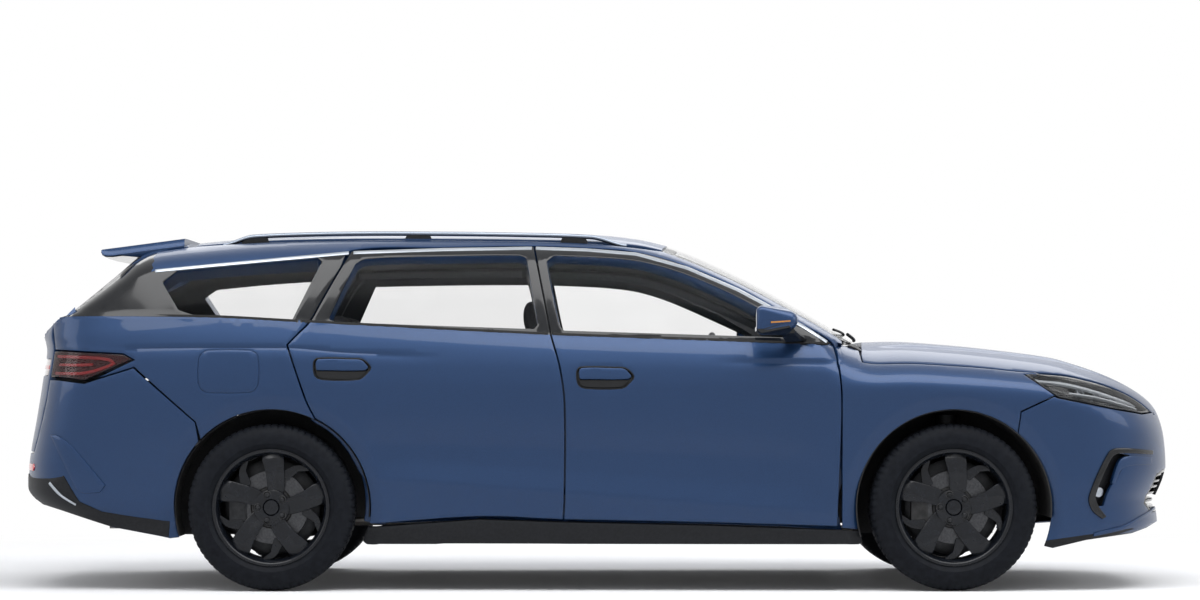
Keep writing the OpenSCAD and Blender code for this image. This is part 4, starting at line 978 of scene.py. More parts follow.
# sill covers
sill = refine([[-950, 262], [-944, 258], [-497, 292], [-149, 280], [407, 268], [1058, 246], [1072, 200],
               [1060, 190], [-960, 190], [-972, 200]], 18)
sill_part = shell(side_real, [sill], 26, roll=5, step=18, sink=0.5,
                  relief=lambda x, z: 3.5 * np.exp(-((z - 226 - 0.01 * x) / 7.0) ** 2))
add("sill_cover_panels", on_both(sill_part), ["black_plastic"], "body", ["sill_covers"], "black_trim")

# ---------------------------------------- front wings
wx = np.arange(1076, 2176, 14.0)
edge_y = np.interp(wx, [q[0] for q in BONNET_LINE[5:]], [q[1] for q in BONNET_LINE[5:]]) + SHUT / 2
edge_z = bonnet_real(wx, edge_y)[:, 2]
wing_top = np.stack([wx, edge_z], 1)
wing_outer = [[988, 258], [988, 500], [988, 659], [988, 805], [983, 880], [979, 917], [983, 938], [998, 946],
              [998, 985], [1070, 985], [1073, 940]]
wing_arch = arc(AXLE_FRONT, AXLE_Z, ARCH_R, 49, 192)
top_pts = [list(q) for q in wing_top if q[0] < 1800]
wing_loop = wing_outer + top_pts + [[1800, top_pts[-1][1] - 4]] + [[1736, 886], [1868, 790], [1855, 799],
                                                                   [1716, 735],
                                                                   [1705, 650]] + wing_arch + [[1052, 252]]
wing_loop = refine(wing_loop, 14)
wing_part = shell(side_real, [wing_loop], 14, roll=2.6, step=16, inner=2)
patch = refine([[988, 706], [1071, 706], [1071, 893], [988, 893]], 16)
wing_top_part = shell(bonnet_real, [patch], 12, roll=2.0, step=16, inner=2)
add("front_wing_skins", on_both(wing_part) + on_both(wing_top_part), PAINTED, "body", ["front_wings"],
    "blue_paint")

# ---------------------------------------- bonnet
half = smooth(BONNET_LINE, sharp=60, closed=False, step=16)
bonnet_loop = grow(both_halves(half)[:-1] if np.allclose(half[0, 1], 0) else both_halves(half), -SHUT / 2)
bonnet_loop = np.array([q for i, q in enumerate(bonnet_loop) if np.linalg.norm(q - bonnet_loop[i - 1]) > 1.0])
rib = np.stack([np.arange(1150, 2250, 22.0), np.interp(np.arange(1150, 2250, 22.0), [1150, 2250],
                                                       [560, 430])], 1)


def bonnet_relief(x, y):
    a = np.abs(y)
    line = np.interp(x, [1150, 2250], [560, 430])
    fade = ramp(1090, 1300, x) * (1 - ramp(2050, 2300, x))
    return fade * (6.0 * np.exp(-((a - line - 26) / 30.0) ** 2) - 5.0
                   * np.exp(-((a - line + 40) / 46.0) ** 2))


bonnet_part = shell(bonnet_real, [bonnet_loop], 20, roll=3.0, step=20, inner=2, lines=[rib, rib * [1, -1]],
                    relief=bonnet_relief)
add("bonnet_skin", [bonnet_part], PAINTED, "bonnet", ["bonnet"], "blue_paint")

# ---------------------------------------- roof, windscreen, cowl
ROOF_LINE = [[292, 0], [284, 300], [260, 560], [-300, 584], [-900, 588], [-1690, 562], [-1690, 0]]
SCREEN_LINE = [[1090, 0], [1080, 250], [1058, 480], [1022, 640], [975, 712], [930, 706], [700, 650],
               [540, 612], [260, 560], [284, 300], [292, 0]]


def plan_outline(half, d, sharp=40, radius=10, step=16):
    p = both_halves([q for q in half])
    p = np.array([q for i, q in enumerate(p) if np.linalg.norm(q - p[i - 1]) > 1.0])
    return grow(smooth(p, sharp=sharp, radius=radius, step=step), d)


roof_loop = plan_outline(ROOF_LINE, -1.0)
roof_part = shell(roof_real, [roof_loop], 24, roll=2.5, step=26, inner=1)
add("roof_skin", [roof_part], ["paint", "headlining"], "body", ["roof"], "blue_paint")
screen_loop = plan_outline(SCREEN_LINE, -1.2, radius=24)
add("windscreen_glass", [shell(roof_real, [screen_loop], 6, roll=0.8, step=26, sink=1.2)], ["screen_glass"],
    "body", ["windscreen"], "dark_glass")
frit = shell(roof_real, [grow(screen_loop, -2), grow(screen_loop, -42)], 3, roll=0.4, step=30, sink=8.0)
add("windscreen_border", [frit], ["gloss_black"], "body", ["windscreen"], "black_trim")

# ---------------------------------------- front bumper
def unique(p, d=1.0):
    p = np.asarray(p, float)
    return np.array([q for i, q in enumerate(p) if np.linalg.norm(q - p[i - 1]) > d])


def bonnet_front(y):
    """Nose angle and height along the bonnet's front edge, for its half widths."""
    y = np.asarray(y, float)
    bx = np.interp(y, [q[1] for q in BONNET_LINE[:6:-1]], [q[0] for q in BONNET_LINE[:6:-1]]) + SHUT / 2
    p = bonnet_real(bx, y)
    return np.stack([c_of_y(nose_at, y, p[:, 2]), p[:, 2]], 1)


arch_part = nose_loop(arc(AXLE_FRONT, AXLE_Z, ARCH_R, 49, -23))
edge = bonnet_front(np.linspace(500, 0, 18))
lamp_low = nose_loop(refine([[1719, 730], [1855, 793], [1872, 786], [2100, 742], [2248, 719]], 25, False))
half_bumper = np.concatenate([[[edge[-1][0], edge[-1][1]]], edge[::-1][1:], [[edge[0][0] + 10, 724]],
                              lamp_low[::-1], arch_part, nose_loop([[1850, 174], [1988, 205], [2202, 226]]),
                              [[330, 262], [150, 296], [0, 296]]])
bumper_loop = unique(np.concatenate([half_bumper, (half_bumper * [-1, 1])[::-1]]), 2.0)
GRILLE_LINE = [[-560, 262], [-640, 330], [-600, 470], [-500, 486], [500, 486], [600, 470], [640, 330],
               [560, 262]]
grille_pts = refine(np.array(GRILLE_LINE, float) + [[0, 46], [0, 20], [0, 0], [0, 0], [0, 0], [0, 0],
                                                    [0, 20], [0, 46]], 30)
grille_c = np.stack([c_of_y(nose_at, grille_pts[:, 0], grille_pts[:, 1]), grille_pts[:, 1]], 1)
# the dark opening of each air curtain
CURTAIN = [[2180, 552], [2120, 560], [2084, 545], [2022, 400], [2034, 345], [2062, 345], [2092, 420],
           [2150, 505]]
curtain = nose_loop(smooth(CURTAIN, sharp=50, radius=8, step=14))
curtain_r = (curtain * [-1, 1])[::-1]
low_line = nose_loop(refine([[1836, 208], [1990, 228], [2196, 250]], 18, False))


def bumper_pick(c, z):
    a = np.abs(c)
    order = np.argsort(low_line[:, 0])
    edge_at = np.interp(a, low_line[order, 0], low_line[order, 1])
    return np.where((z < edge_at) & (a > low_line[:, 0].min()), 5, 0)


bumper_parts = [shell(nose_at, [bumper_loop, grille_c, curtain, curtain_r], 14, roll=2.6, step=20, inner=5,
                      pick=bumper_pick, lines=[low_line, low_line * [-1, 1]])]
half_parts = []
BLADE = [[2292, 552], [2292, 570], [2124, 583], [2082, 566], [1998, 386], [2012, 328], [2056, 292],
         [2074, 302], [2036, 352], [2028, 394], [2092, 540], [2126, 560]]
blade = nose_loop(smooth(BLADE, sharp=60, radius=4, step=12))
half_parts.append(recolour(shell(nose_at, [blade], 20, roll=3.0, step=12, sink=-7), 1))
fin = nose_loop(smooth([[2290, 545], [2160, 548], [2128, 528], [2096, 440], [2108, 432], [2150, 500],
                        [2290, 512]], sharp=60, radius=6, step=12))
half_parts.append(recolour(shell(nose_at, [fin], 16, roll=4.0, step=12, sink=-3), 0))
half_parts.append(recolour(shell(nose_at, [grow(curtain, 6)], 30, roll=1, step=24, sink=36), 5))
lip = nose_loop(refine([[2020, 236], [2150, 262], [2240, 300], [2330, 330], [2330, 318], [2240, 286],
                        [2150, 246], [2020, 222]], 20))
half_parts.append(recolour(shell(nose_at, [lip], 16, roll=3, step=16, sink=-6), 0))
fog = nose_loop(arc(2052, 398, 21, 0, 345, 15))
half_parts.append(recolour(shell(nose_at, [fog], 12, roll=4, step=8, sink=16), 3))
bumper_parts += half_parts + [mirrored(q) for q in half_parts]
add("front_bumper_skin", bumper_parts, PAINTED, "body", ["front_bumper"], "blue_paint")

# grille: slats, a back plate, the surround and a plate carrier
slats = []
for k, z in enumerate(np.arange(300, 480, 26.0)):
    w = 590 if z > 330 else 560
    ys = np.linspace(-w, w, 60)
    loop = np.concatenate([np.stack([c_of_y(nose_at, ys, ys * 0 + z), ys * 0 + z], 1),
                           np.stack([c_of_y(nose_at, ys, ys * 0 + z), ys * 0 + z + 9], 1)[::-1]])
    slats.append(recolour(shell(nose_at, [loop], 22, roll=2.5, step=18, sink=12), 0))
back_plate = recolour(shell(nose_at, [grow(grille_c, 4)], 8, roll=1, step=40, sink=48), 1)
rim_band = recolour(shell(nose_at, [grow(grille_c, -0.6), grow(grille_c, -15)], 34, roll=4, step=24, sink=1),
                    2)
plate_pts = refine([[-262, 372], [262, 372], [262, 470], [-262, 470]], 30)
plate_loop = np.stack([c_of_y(nose_at, plate_pts[:, 0], plate_pts[:, 1]), plate_pts[:, 1]], 1)
plate = recolour(shell(nose_at, [plate_loop], 10, roll=2, step=30, sink=-1), 3)
add("grille_slats", slats + [back_plate, rim_band, plate], ["gloss_black", "black_plastic", "gloss_black",
                                                            "black_plastic"], "body", ["grille"],
    "black_trim")

# ---------------------------------------- headlamps
lamp_edge = [[q[0], q[1] - 3] for q in wing_top if 1800 < q[0] < 2170]
edge_far = bonnet_front(np.linspace(700, 560, 8))
lamp_pts = nose_loop(refine([[1738, 889], [1792, 899]] + lamp_edge[::3], 22, False))
tip = np.concatenate([lamp_pts, edge_far + [0, -3], nose_loop(refine([[2328, 730], [2248, 725], [2100, 748],
                                                                     [1873, 791]], 22, False))])
lamp_loop = unique(tip, 3.0)
lamp_loop = grow(lamp_loop, -1.0)
LAMP_MATS = ["lamp_housing", "lamp_cover", "lamp_white", "bright_trim", "gloss_black"]


def lamp_strip(points, width, sink, thick, m, surface, mapper, roll=2.5):
    p = mapper(refine(smooth(points, closed=False, step=14), 14, False))
    e = np.gradient(p, axis=0)
    e /= np.linalg.norm(e, axis=1, keepdims=True)
    n = np.stack([-e[:, 1], e[:, 0]], 1) * width / 2
    loop = np.concatenate([p + n, (p - n)[::-1]])
    return recolour(shell(surface, [loop], thick, roll=roll, step=width, sink=sink), m)


def lens(surface, c, z, r, sink, m_ring, m_glass):
    out = []
    ring = np.array([[c + r * math.cos(t), z + r * 0.92 * math.sin(t)] for t in np.linspace(0, 2 * math.pi,
                                                                                            29)[:-1]])
    out.append(recolour(shell(surface, [ring, ring * 0 + [c, z] + (ring - [c, z]) * 0.78], 20, roll=2,
                              step=9, sink=sink), m_ring))
    inner = [c, z] + (ring - [c, z]) * 0.77
    out.append(recolour(shell(surface, [inner], 12, roll=r * 0.6, step=6, sink=sink - 6), m_glass))
    return out


lamp_parts = [recolour(shell(nose_at, [grow(lamp_loop, -1)], 10, roll=1, step=30, sink=46), 0),
              recolour(shell(nose_at, [lamp_loop, grow(lamp_loop, -7)], 44, roll=1.5, step=20, sink=2), 4)]
lamp_parts.append(lamp_strip([[1775, 880], [1850, 876], [1960, 858], [2080, 826], [2190, 790], [2290, 752]],
                             11, 22, 12, 2, nose_at, nose_loop))
lamp_parts.append(lamp_strip([[1930, 822], [2040, 808], [2150, 782], [2250, 752]], 7, 20, 12, 2, nose_at,
                             nose_loop))
for lens_x, lens_z, lens_r in ((1985, 838, 17), (2062, 820, 17), (2138, 797, 16), (2208, 772, 13)):
    c0, z0 = nose_loop([[lens_x, lens_z]])[0]
    lamp_parts += lens(nose_at, c0, z0, lens_r, 30, 3, 1)
lamp_parts.append(lamp_strip([[1830, 850], [1900, 835], [1960, 800], [1900, 802]], 16, 26, 10, 0, nose_at,
                             nose_loop))
cover = recolour(shell(nose_at, [grow(lamp_loop, -1)], 3, roll=2.0, step=20, sink=1.0), 1)
simple("lamp_housing", (0.020, 0.021, 0.024), (0.034, 0.036, 0.040), (0.18, 0.3), 50, metal=0.6, bump=0.1)
simple("lamp_white", (0.62, 0.66, 0.70), (0.74, 0.77, 0.80), (0.2, 0.3), 220, bump=0.3, depth=0.0006,
       grain=500)
simple("lamp_red", (0.42, 0.010, 0.014), (0.60, 0.018, 0.022), (0.10, 0.18), 160, coat=0.8, bump=0.25,
       depth=0.0006, grain=700)
simple("lamp_red_dark", (0.055, 0.003, 0.005), (0.085, 0.005, 0.008), (0.08, 0.14), 90, coat=1.0, bump=0.1)
add("headlamp_units", on_both(join_parts(lamp_parts)), LAMP_MATS, "body", ["headlamps"], "lamp_clear")
add("headlamp_covers", on_both(cover), LAMP_MATS, "body", ["headlamps"], "lamp_clear")

# ---------------------------------------- rear bumper
rear_arch = tail_loop(arc(AXLE_REAR, AXLE_Z, ARCH_R, 138, 198))
gate_edge = [[653, 559], [689, 620], [716, 700], [734, 780], [736, 862]]
gate_edge = np.array(gate_edge, float)
gate_c = np.stack([c_of_y(rear_at, gate_edge[:, 0] + 4, gate_edge[:, 1]), gate_edge[:, 1]], 1)
low_c = c_of_y(rear_at, np.linspace(0, 640, 15), 556.0)
half_rear = np.concatenate([np.stack([low_c, low_c * 0 + 556], 1), gate_c, tail_loop(refine([[-2225, 860],
                                                                                             [-2112, 846],
                                                                                             [-1908, 909],
                                                                                             [-1654, 688]],
                                                                                            20, False)),
                            rear_arch, tail_loop([[-1760, 214], [-2005, 257], [-2216, 321]]), [[420, 345],
                                                                                               [200, 352],
                                                                                               [0, 352]]])
rear_loop = unique(np.concatenate([half_rear, (half_rear * [-1, 1])[::-1]]), 2.0)


rear_parts = [shell(rear_at, [rear_loop], 14, roll=2.6, step=22, inner=5)]
# crease and corner vent, dark lower part, bright trims and reflectors
fold = tail_loop(smooth([[-2262, 640], [-2220, 634], [-2160, 590], [-2022, 432], [-2046, 400], [-2120, 398],
                         [-2150, 420], [-2200, 520]], sharp=50, radius=10, step=14))
rear_half = []
rear_half.append(recolour(shell(rear_at, [fold], 18, roll=9.0, step=14, sink=-7), 0))
diff_top = tail_loop(refine([[-1764, 284], [-1900, 300], [-2043, 322], [-2137, 364], [-2200, 470]], 18,
                            False))
diff_low = tail_loop(refine([[-2216, 323], [-2005, 259], [-1768, 217]], 18, False))
c_top = c_of_y(rear_at, np.linspace(700, 0, 15), 540.0)
half_d = np.concatenate([diff_top, np.stack([c_top[3:], c_top[3:] * 0 + 470], 1)])
low_d = np.concatenate([np.stack([np.linspace(0, 420, 12), np.linspace(356, 349, 12)], 1), diff_low])
full_d = unique(np.concatenate([half_d, (half_d * [-1, 1])[::-1], (low_d * [-1, 1])[::-1], low_d]), 2.0)
rear_parts.append(recolour(shell(rear_at, [full_d], 16, roll=4.0, step=24, sink=-4), 5))
for s in (-1, 1):
    for y in (150, 300):
        col = np.array([[s * y - 5, 362], [s * y + 5, 362], [s * y + 5, 452], [s * y - 5, 452]], float)
        rear_parts.append(recolour(shell(rear_at, [refine(col, 8)], 18, roll=3, step=12, sink=-16), 5))
trim_line = lamp_strip([[-2150, 352], [-2215, 392], [-2262, 440]], 11, -8, 8, 3, rear_at, tail_loop)
rear_half.append(trim_line)
reflector = np.array([[560, 486], [640, 486], [650, 500], [640, 514], [560, 514], [552, 500]], float)
rear_half.append(recolour(shell(rear_at, [refine(reflector, 12)], 10, roll=2.5, step=10, sink=-5), 6))
rear_parts += rear_half + [mirrored(q) for q in rear_half]
add("rear_bumper_skin", rear_parts, PAINTED + ["lamp_red"], "body", ["rear_bumper"], "blue_paint")

# ---------------------------------------- tail lamps
tl = tail_loop(refine([[-2244, 981], [-2235, 981], [-1954, 966], [-1912, 947], [-2112, 861], [-2231, 876]],
                      18, False))
g2 = np.array([[736, 872], [732, 905], [728, 940], [719, 980]], float)
g2 = np.stack([c_of_y(rear_at, g2[:, 0] + 5, g2[:, 1]), g2[:, 1]], 1)
tail_lamp_loop = unique(np.concatenate([tl, g2]), 3.0)
tail_lamp_loop = grow(tail_lamp_loop, -0.8)
tp = [recolour(shell(rear_at, [tail_lamp_loop], 10, roll=1, step=26, sink=36), 0),
      recolour(shell(rear_at, [tail_lamp_loop, grow(tail_lamp_loop, -6)], 34, roll=1.5, step=20, sink=2), 4)]
tp.append(lamp_strip([[-2262, 962], [-2200, 960], [-2080, 955], [-2010, 946], [-1992, 932], [-2020, 918],
                      [-2110, 893], [-2200, 890], [-2262, 892]], 13, 10, 14, 5, rear_at, tail_loop))
tp.append(lamp_strip([[-2250, 928], [-2150, 926], [-2085, 928]], 12, 16, 10, 5, rear_at, tail_loop))
tp.append(lamp_strip([[-2230, 944], [-2120, 942], [-2050, 936]], 5, 18, 8, 6, rear_at, tail_loop))
tp.append(lamp_strip([[-2230, 908], [-2140, 908], [-2070, 916]], 5, 18, 8, 6, rear_at, tail_loop))
tail_cover = recolour(shell(rear_at, [tail_lamp_loop], 3, roll=2.0, step=20, sink=1.0), 1)
TAIL_MATS = LAMP_MATS + ["lamp_red", "lamp_red_dark"]
thin_glass("smoked_cover", (0.05, 0.008, 0.010), 0.72)
add("tail_lamp_units", on_both(join_parts(tp)), TAIL_MATS, "body", ["tail_lamps"], "lamp_red")
add("tail_lamp_covers", on_both(tail_cover), ["smoked_cover", "smoked_cover"], "body", ["tail_lamps"],
    "lamp_red")

# ---------------------------------------- tailgate
def w_of(z, y):
    """Fan angle at which the tail has height z, y from the middle."""
    z, y = np.broadcast_arrays(np.asarray(z, float), np.asarray(y, float))
    ws = np.arange(-300, 801, 12.0)
    w, v = np.broadcast_arrays(ws[None, :], y.ravel()[:, None])
    rows = tail_at(w.ravel(), v.ravel())[:, 2].reshape(w.shape)
    return np.array([np.interp(q, row, ws) for q, row in zip(z.ravel(), rows)]).reshape(z.shape)


def gate_half(z0, z1, d, step=22.0):
    """Edge of the tailgate between two heights, as fan angle and y."""
    z = np.arange(z0, z1, step)
    y = 650.0 + 0 * z
    for _ in range(6):
        w = w_of(z, y)
        p = tail_at(w, y)
        r = np.hypot(p[:, 0] - HINGE_X, p[:, 2] - HINGE_Z)
        y = 0.3 * y + 0.7 * (np.interp(r, [q[0] for q in TAILGATE_LINE], [q[1] for q in TAILGATE_LINE]) + d)
    return [[a, b] for a, b in zip(w, y)]


right_edge = gate_half(563, 1418, -3)
top = [[690, 548], [735, 540], [735, 400], [735, 200]]
ys_low = np.arange(0, 640, 40.0)
bottom = [[a, b] for a, b in zip(w_of(563.0, ys_low), ys_low)]
half_gate = bottom + right_edge + [[q[0], q[1]] for q in top if q[0] > right_edge[-1][0] + 8]
gate_loop = unique(np.array(half_gate + [[q[0], -q[1]] for q in half_gate[::-1]]), 2.0)
win = [[-600, 1130], [-540, 1345], [540, 1345], [600, 1130]]
wp = refine(win, 30)
win_loop = grow(np.stack([w_of(wp[:, 1], wp[:, 0]), wp[:, 0]], 1), SEAT)
lampy = np.linspace(-700, 700, 60)
lamp_low_w, lamp_high_w = w_of(882.0 + 0 * lampy, lampy), w_of(948.0 + 0 * lampy, lampy)
bar = unique(np.concatenate([np.stack([lamp_low_w, lampy], 1), np.stack([lamp_high_w, lampy], 1)[::-1]]), 2.0)
brow = np.stack([w_of(1122 + 0 * lampy, lampy * 0.99), lampy * 0.99], 1)


def gate_points(points, step=34):
    q = refine(points, step)
    return np.stack([w_of(q[:, 1], q[:, 0]), q[:, 0]], 1)


plate_w = gate_points([[-300, 640], [300, 640], [270, 790], [-270, 790]])


def gate_pick(w, y):
    return np.where((w > np.interp(y, brow[:, 1], brow[:, 0])) & (w < 560), 1, 0)


bar_hole = grow(bar, 1.5)
gate_parts = [shell(tail_at, [gate_loop, win_loop, bar_hole, plate_w], 30, roll=3.0, step=24, inner=2,
                    pick=gate_pick, lines=[brow])]
gate_parts.append(recolour(shell(tail_at, [grow(plate_w, 2)], 8, roll=1, step=40, sink=24), 0))
gate_parts.append(recolour(shell(tail_at, [plate_w, grow(plate_w, -3)], 24, roll=1.5, step=30, sink=1.5), 0))
blank = gate_points([[-258, 664], [258, 664], [258, 770], [-258, 770]])
gate_parts.append(recolour(shell(tail_at, [blank], 8, roll=2, step=40, sink=14), 5))
add("tailgate_skin", gate_parts, PAINTED, "tailgate", ["tailgate"], "blue_paint")
add("tailgate_glass", [shell(tail_at, [grow(win_loop, -SEAT)], 6, roll=0.8, step=30, sink=3)],
    ["dark_glass"], "tailgate", ["tailgate_window"], "dark_glass")
strip_mid = np.stack([(lamp_low_w + lamp_high_w) / 2, lampy], 1)
bar_in = unique(np.concatenate([strip_mid - [7, 0], (strip_mid + [7, 0])[::-1]]), 2.0)
add("tailgate_lamp_bar", [recolour(shell(tail_at, [grow(bar, 0.4)], 16, roll=2.5, step=20, sink=2), 1),
                          recolour(shell(tail_at, [bar_in], 10, roll=3, step=16, sink=-0.5), 0)],
    ["lamp_red", "lamp_red_dark"], "tailgate", ["tailgate_lamp"], "lamp_red")


# ---------------------------------------- lofted pieces
def loft(sections, closed_ends=True, closed_ring=True):
    """Points and faces through rings of equal length."""
    s = [np.asarray(q, float) for q in sections]
    n = len(s[0])
    pts = np.concatenate(s)
    faces = []
    for i in range(len(s) - 1):
        for j in range(n if closed_ring else n - 1):
            a, b = i * n + j, i * n + (j + 1) % n
            faces.append((a, b, b + n, a + n))
    if closed_ends:
        faces.append(tuple(range(n))[::-1])
        faces.append(tuple((len(s) - 1) * n + j for j in range(n)))
    return pts, faces, [0] * len(faces)


def spoiler():
    secs = []
    xs = [-2088, -2084, -2070, -2040, -2000, -1940, -1880, -1820, -1770, -1740]
    for k, x in enumerate(xs):
        t = 1408 + (x + 2085) * 0.132 + 2
        thick = 34 * min(1.0, 0.35 + 0.65 * (k / 2.5)) if k < 3 else 34
        drop = 3.0 if k == 0 else 0
        a = np.radians(np.linspace(0, 180, 49))
        y = 560 * np.sign(np.cos(a)) * np.abs(np.cos(a)) ** 0.25
        top_z = t - np.where(np.abs(y) < 555, 4, thick) * (1 - np.sin(a)) - drop
        low_z = t - thick - 6 - 20 * ramp(-2000, -1900, x) + 0 * y
        edge_x = x - 26 * (1 - (np.abs(y) / 560) ** 2) * (x < -2000)
        up = np.stack([edge_x, y, top_z], 1)
        down = np.stack([edge_x, y * 0.985, np.minimum(low_z, top_z - 3)], 1)[::-1]
        secs.append(np.concatenate([up, down]))
    p, f, i = loft(secs)
    idx = []
    m = 98
    for k, face in enumerate(f):
        c = p[list(face)].mean(0)
        j = k % m
        idx.append(1 if (k < len(f) - 2 and 49 <= j < 97) else 0)
    return p, f, idx


sp = spoiler()
add("tailgate_spoiler_skin", [sp], ["paint", "gloss_black"], "tailgate", ["tailgate_spoiler"], "blue_paint",
    angle=50)

xs = np.concatenate([np.linspace(-1575, -1400, 12), np.linspace(-1360, -100, 24), np.linspace(-60, 110, 14)])
secs = []
for x in xs:
    y0 = 572 - 8 * float(ramp(-600, -1560, x))
    z0 = float(roof_real(np.array(x), np.array(y0))[2])
    up = 26 * float(ramp(-1575, -1450, x)) * (1 - float(ramp(-40, 110, x))) - 6
    a = np.radians(np.arange(0, 360, 22.5))
    ring = np.stack([x + 0 * a, y0 + 13 * np.cos(a), z0 + up - 1 + 10 * np.sin(a)], 1)
    secs.append(ring)
rail = loft(secs)
feet = []
for fx in (-1440, -760, -110):
    y0 = 572 - 8 * float(ramp(-600, -1560, fx))
    z0 = float(roof_real(np.array(float(fx)), np.array(y0))[2])
    prof = [np.array([[fx + dx * k, y0 + dy, z0 - 12 + h * 26] for dx, dy in
                      ((-60, -8), (-60, 8), (-40, 11), (40, 11), (60, 8), (60, -8), (40, -11), (-40, -11))])
            for h, k in ((0, 1.0), (0.5, 0.9), (1.0, 0.8))]
    feet.append(recolour(loft(prof), 1))
add("roof_rail_bars", on_both(join_parts([rail] + feet)), ["rail_silver", "black_plastic"], "body",
    ["roof_rails"], "black_trim", angle=50)

# ---------------------------------------- wheels and tyres, about the wheel's own middle
RIM_R = 228.5
WHEEL_AT = {"front_left": (AXLE_FRONT, 1), "front_right": (AXLE_FRONT, -1), "rear_left": (AXLE_REAR, 1),
            "rear_right": (AXLE_REAR, -1)}


def spin(profile, n, m=0, closed=True):
    """Profile of (radius, y) turned about the axle."""
    p = np.asarray(profile, float)
    k = len(p)
    a = np.linspace(0, 2 * math.pi, n + 1)[:-1]
    pts = np.stack([p[None, :, 0] * np.cos(a)[:, None], 0 * a[:, None] + p[None, :, 1],
                    p[None, :, 0] * np.sin(a)[:, None]], -1).reshape(-1, 3)
    faces = []
    for i in range(n):
        j = (i + 1) % n
        for q in range(k if closed else k - 1):
            r = (q + 1) % k
            faces.append((i * k + q, i * k + r, j * k + r, j * k + q))
    return pts, faces, [m] * len(faces)


def tread():
    """Tread with four grooves, sipes and shoulder blocks, as one closed ring."""
    n = 360
    prof = [[RIM_R + 0.5, -88], [RIM_R + 14, -96], [RIM_R + 26, -105], [262, -112.2], [282, -112.5],
            [300, -109], [316, -102], [328, -94], [336, -84], [340.2, -70]]
    across = np.array([-60, -57, -56, -48, -47, -24, -23, -15, -14, 14, 15, 23, 24, 47, 48, 56, 57, 60])
    groove = np.array([0, 0, 8, 8, 0, 0, 8, 8, 0, 0, 8, 8, 0, 0, 8, 8, 0, 0])
    prof = prof + [[341 - g, y] for y, g in zip(across, groove)]
    prof = prof + [[r, -y] for r, y in prof[9::-1]]
    p = np.array(prof, float)
    k = len(p)
    a = np.linspace(0, 2 * math.pi, n + 1)[:-1]
    rr = p[None, :, 0] + 0 * a[:, None]
    y = p[None, :, 1] + 0 * a[:, None]
    block = (np.arange(n) % 5 == 0)[:, None]
    rr = rr - 5.0 * block * ((np.abs(y) > 56) & (p[None, :, 0] > 325))
    rr = rr - 4.0 * (np.arange(n) % 5 == 2)[:, None] * ((np.abs(y) < 48) & (p[None, :, 0] > 340))
    pts = np.stack([rr * np.cos(a)[:, None], y, rr * np.sin(a)[:, None]], -1).reshape(-1, 3)
    faces = []
    for i in range(n):
        j = (i + 1) % n
        for q in range(k):
            r = (q + 1) % k
            faces.append((i * k + q, i * k + r, j * k + r, j * k + q))
    return pts, faces, [0] * len(faces)


def slab(loop, y_of, thick, taper=0.0, m=0, roll=2.5):
    """Piece of spoke: an outline in (x, z) whose outer face lies at y_of(x, z), with a rounded edge."""
    loop = np.asarray(loop, float)
    uv, tri, rings = triangulate([loop], 11, roll)
    d = distance(uv, [loop])
    y = y_of(uv[:, 0], uv[:, 1])
    top = np.stack([uv[:, 0], y - rolled(d, roll), uv[:, 1]], 1)
    c = uv.mean(0)
    low = np.stack([c[0] + (uv[:, 0] - c[0]) * (1 - taper), y - thick, c[1] + (uv[:, 1] - c[1])
                    * (1 - taper)], 1)
    n = len(uv)
    a, b, e = top[tri[:, 0]], top[tri[:, 1]], top[tri[:, 2]]
    good = np.cross(b - a, e - a)[:, 1] > 0
    tri = np.where(good[:, None], tri, tri[:, ::-1])
    faces = [tuple(t) for t in tri] + [tuple(t[::-1] + n) for t in tri]
    seen = {(t[i], t[(i + 1) % 3]) for t in tri for i in range(3)}
    ring = rings[0]
    for i in range(len(ring)):
        p, q = ring[i], ring[(i + 1) % len(ring)]
        if (p, q) in seen:
            faces.append((q, p, p + n, q + n))
        elif (q, p) in seen:
            faces.append((p, q, q + n, p + n))
    return np.concatenate([top, low]), faces, [m] * len(faces)


def turned(part, degrees):
    """Part turned about the axle."""
    p, f, i = part
    t = math.radians(degrees)
    c, s = math.cos(t), math.sin(t)
    return np.stack([p[:, 0] * c - p[:, 2] * s, p[:, 1], p[:, 0] * s + p[:, 2] * c], 1), f, i


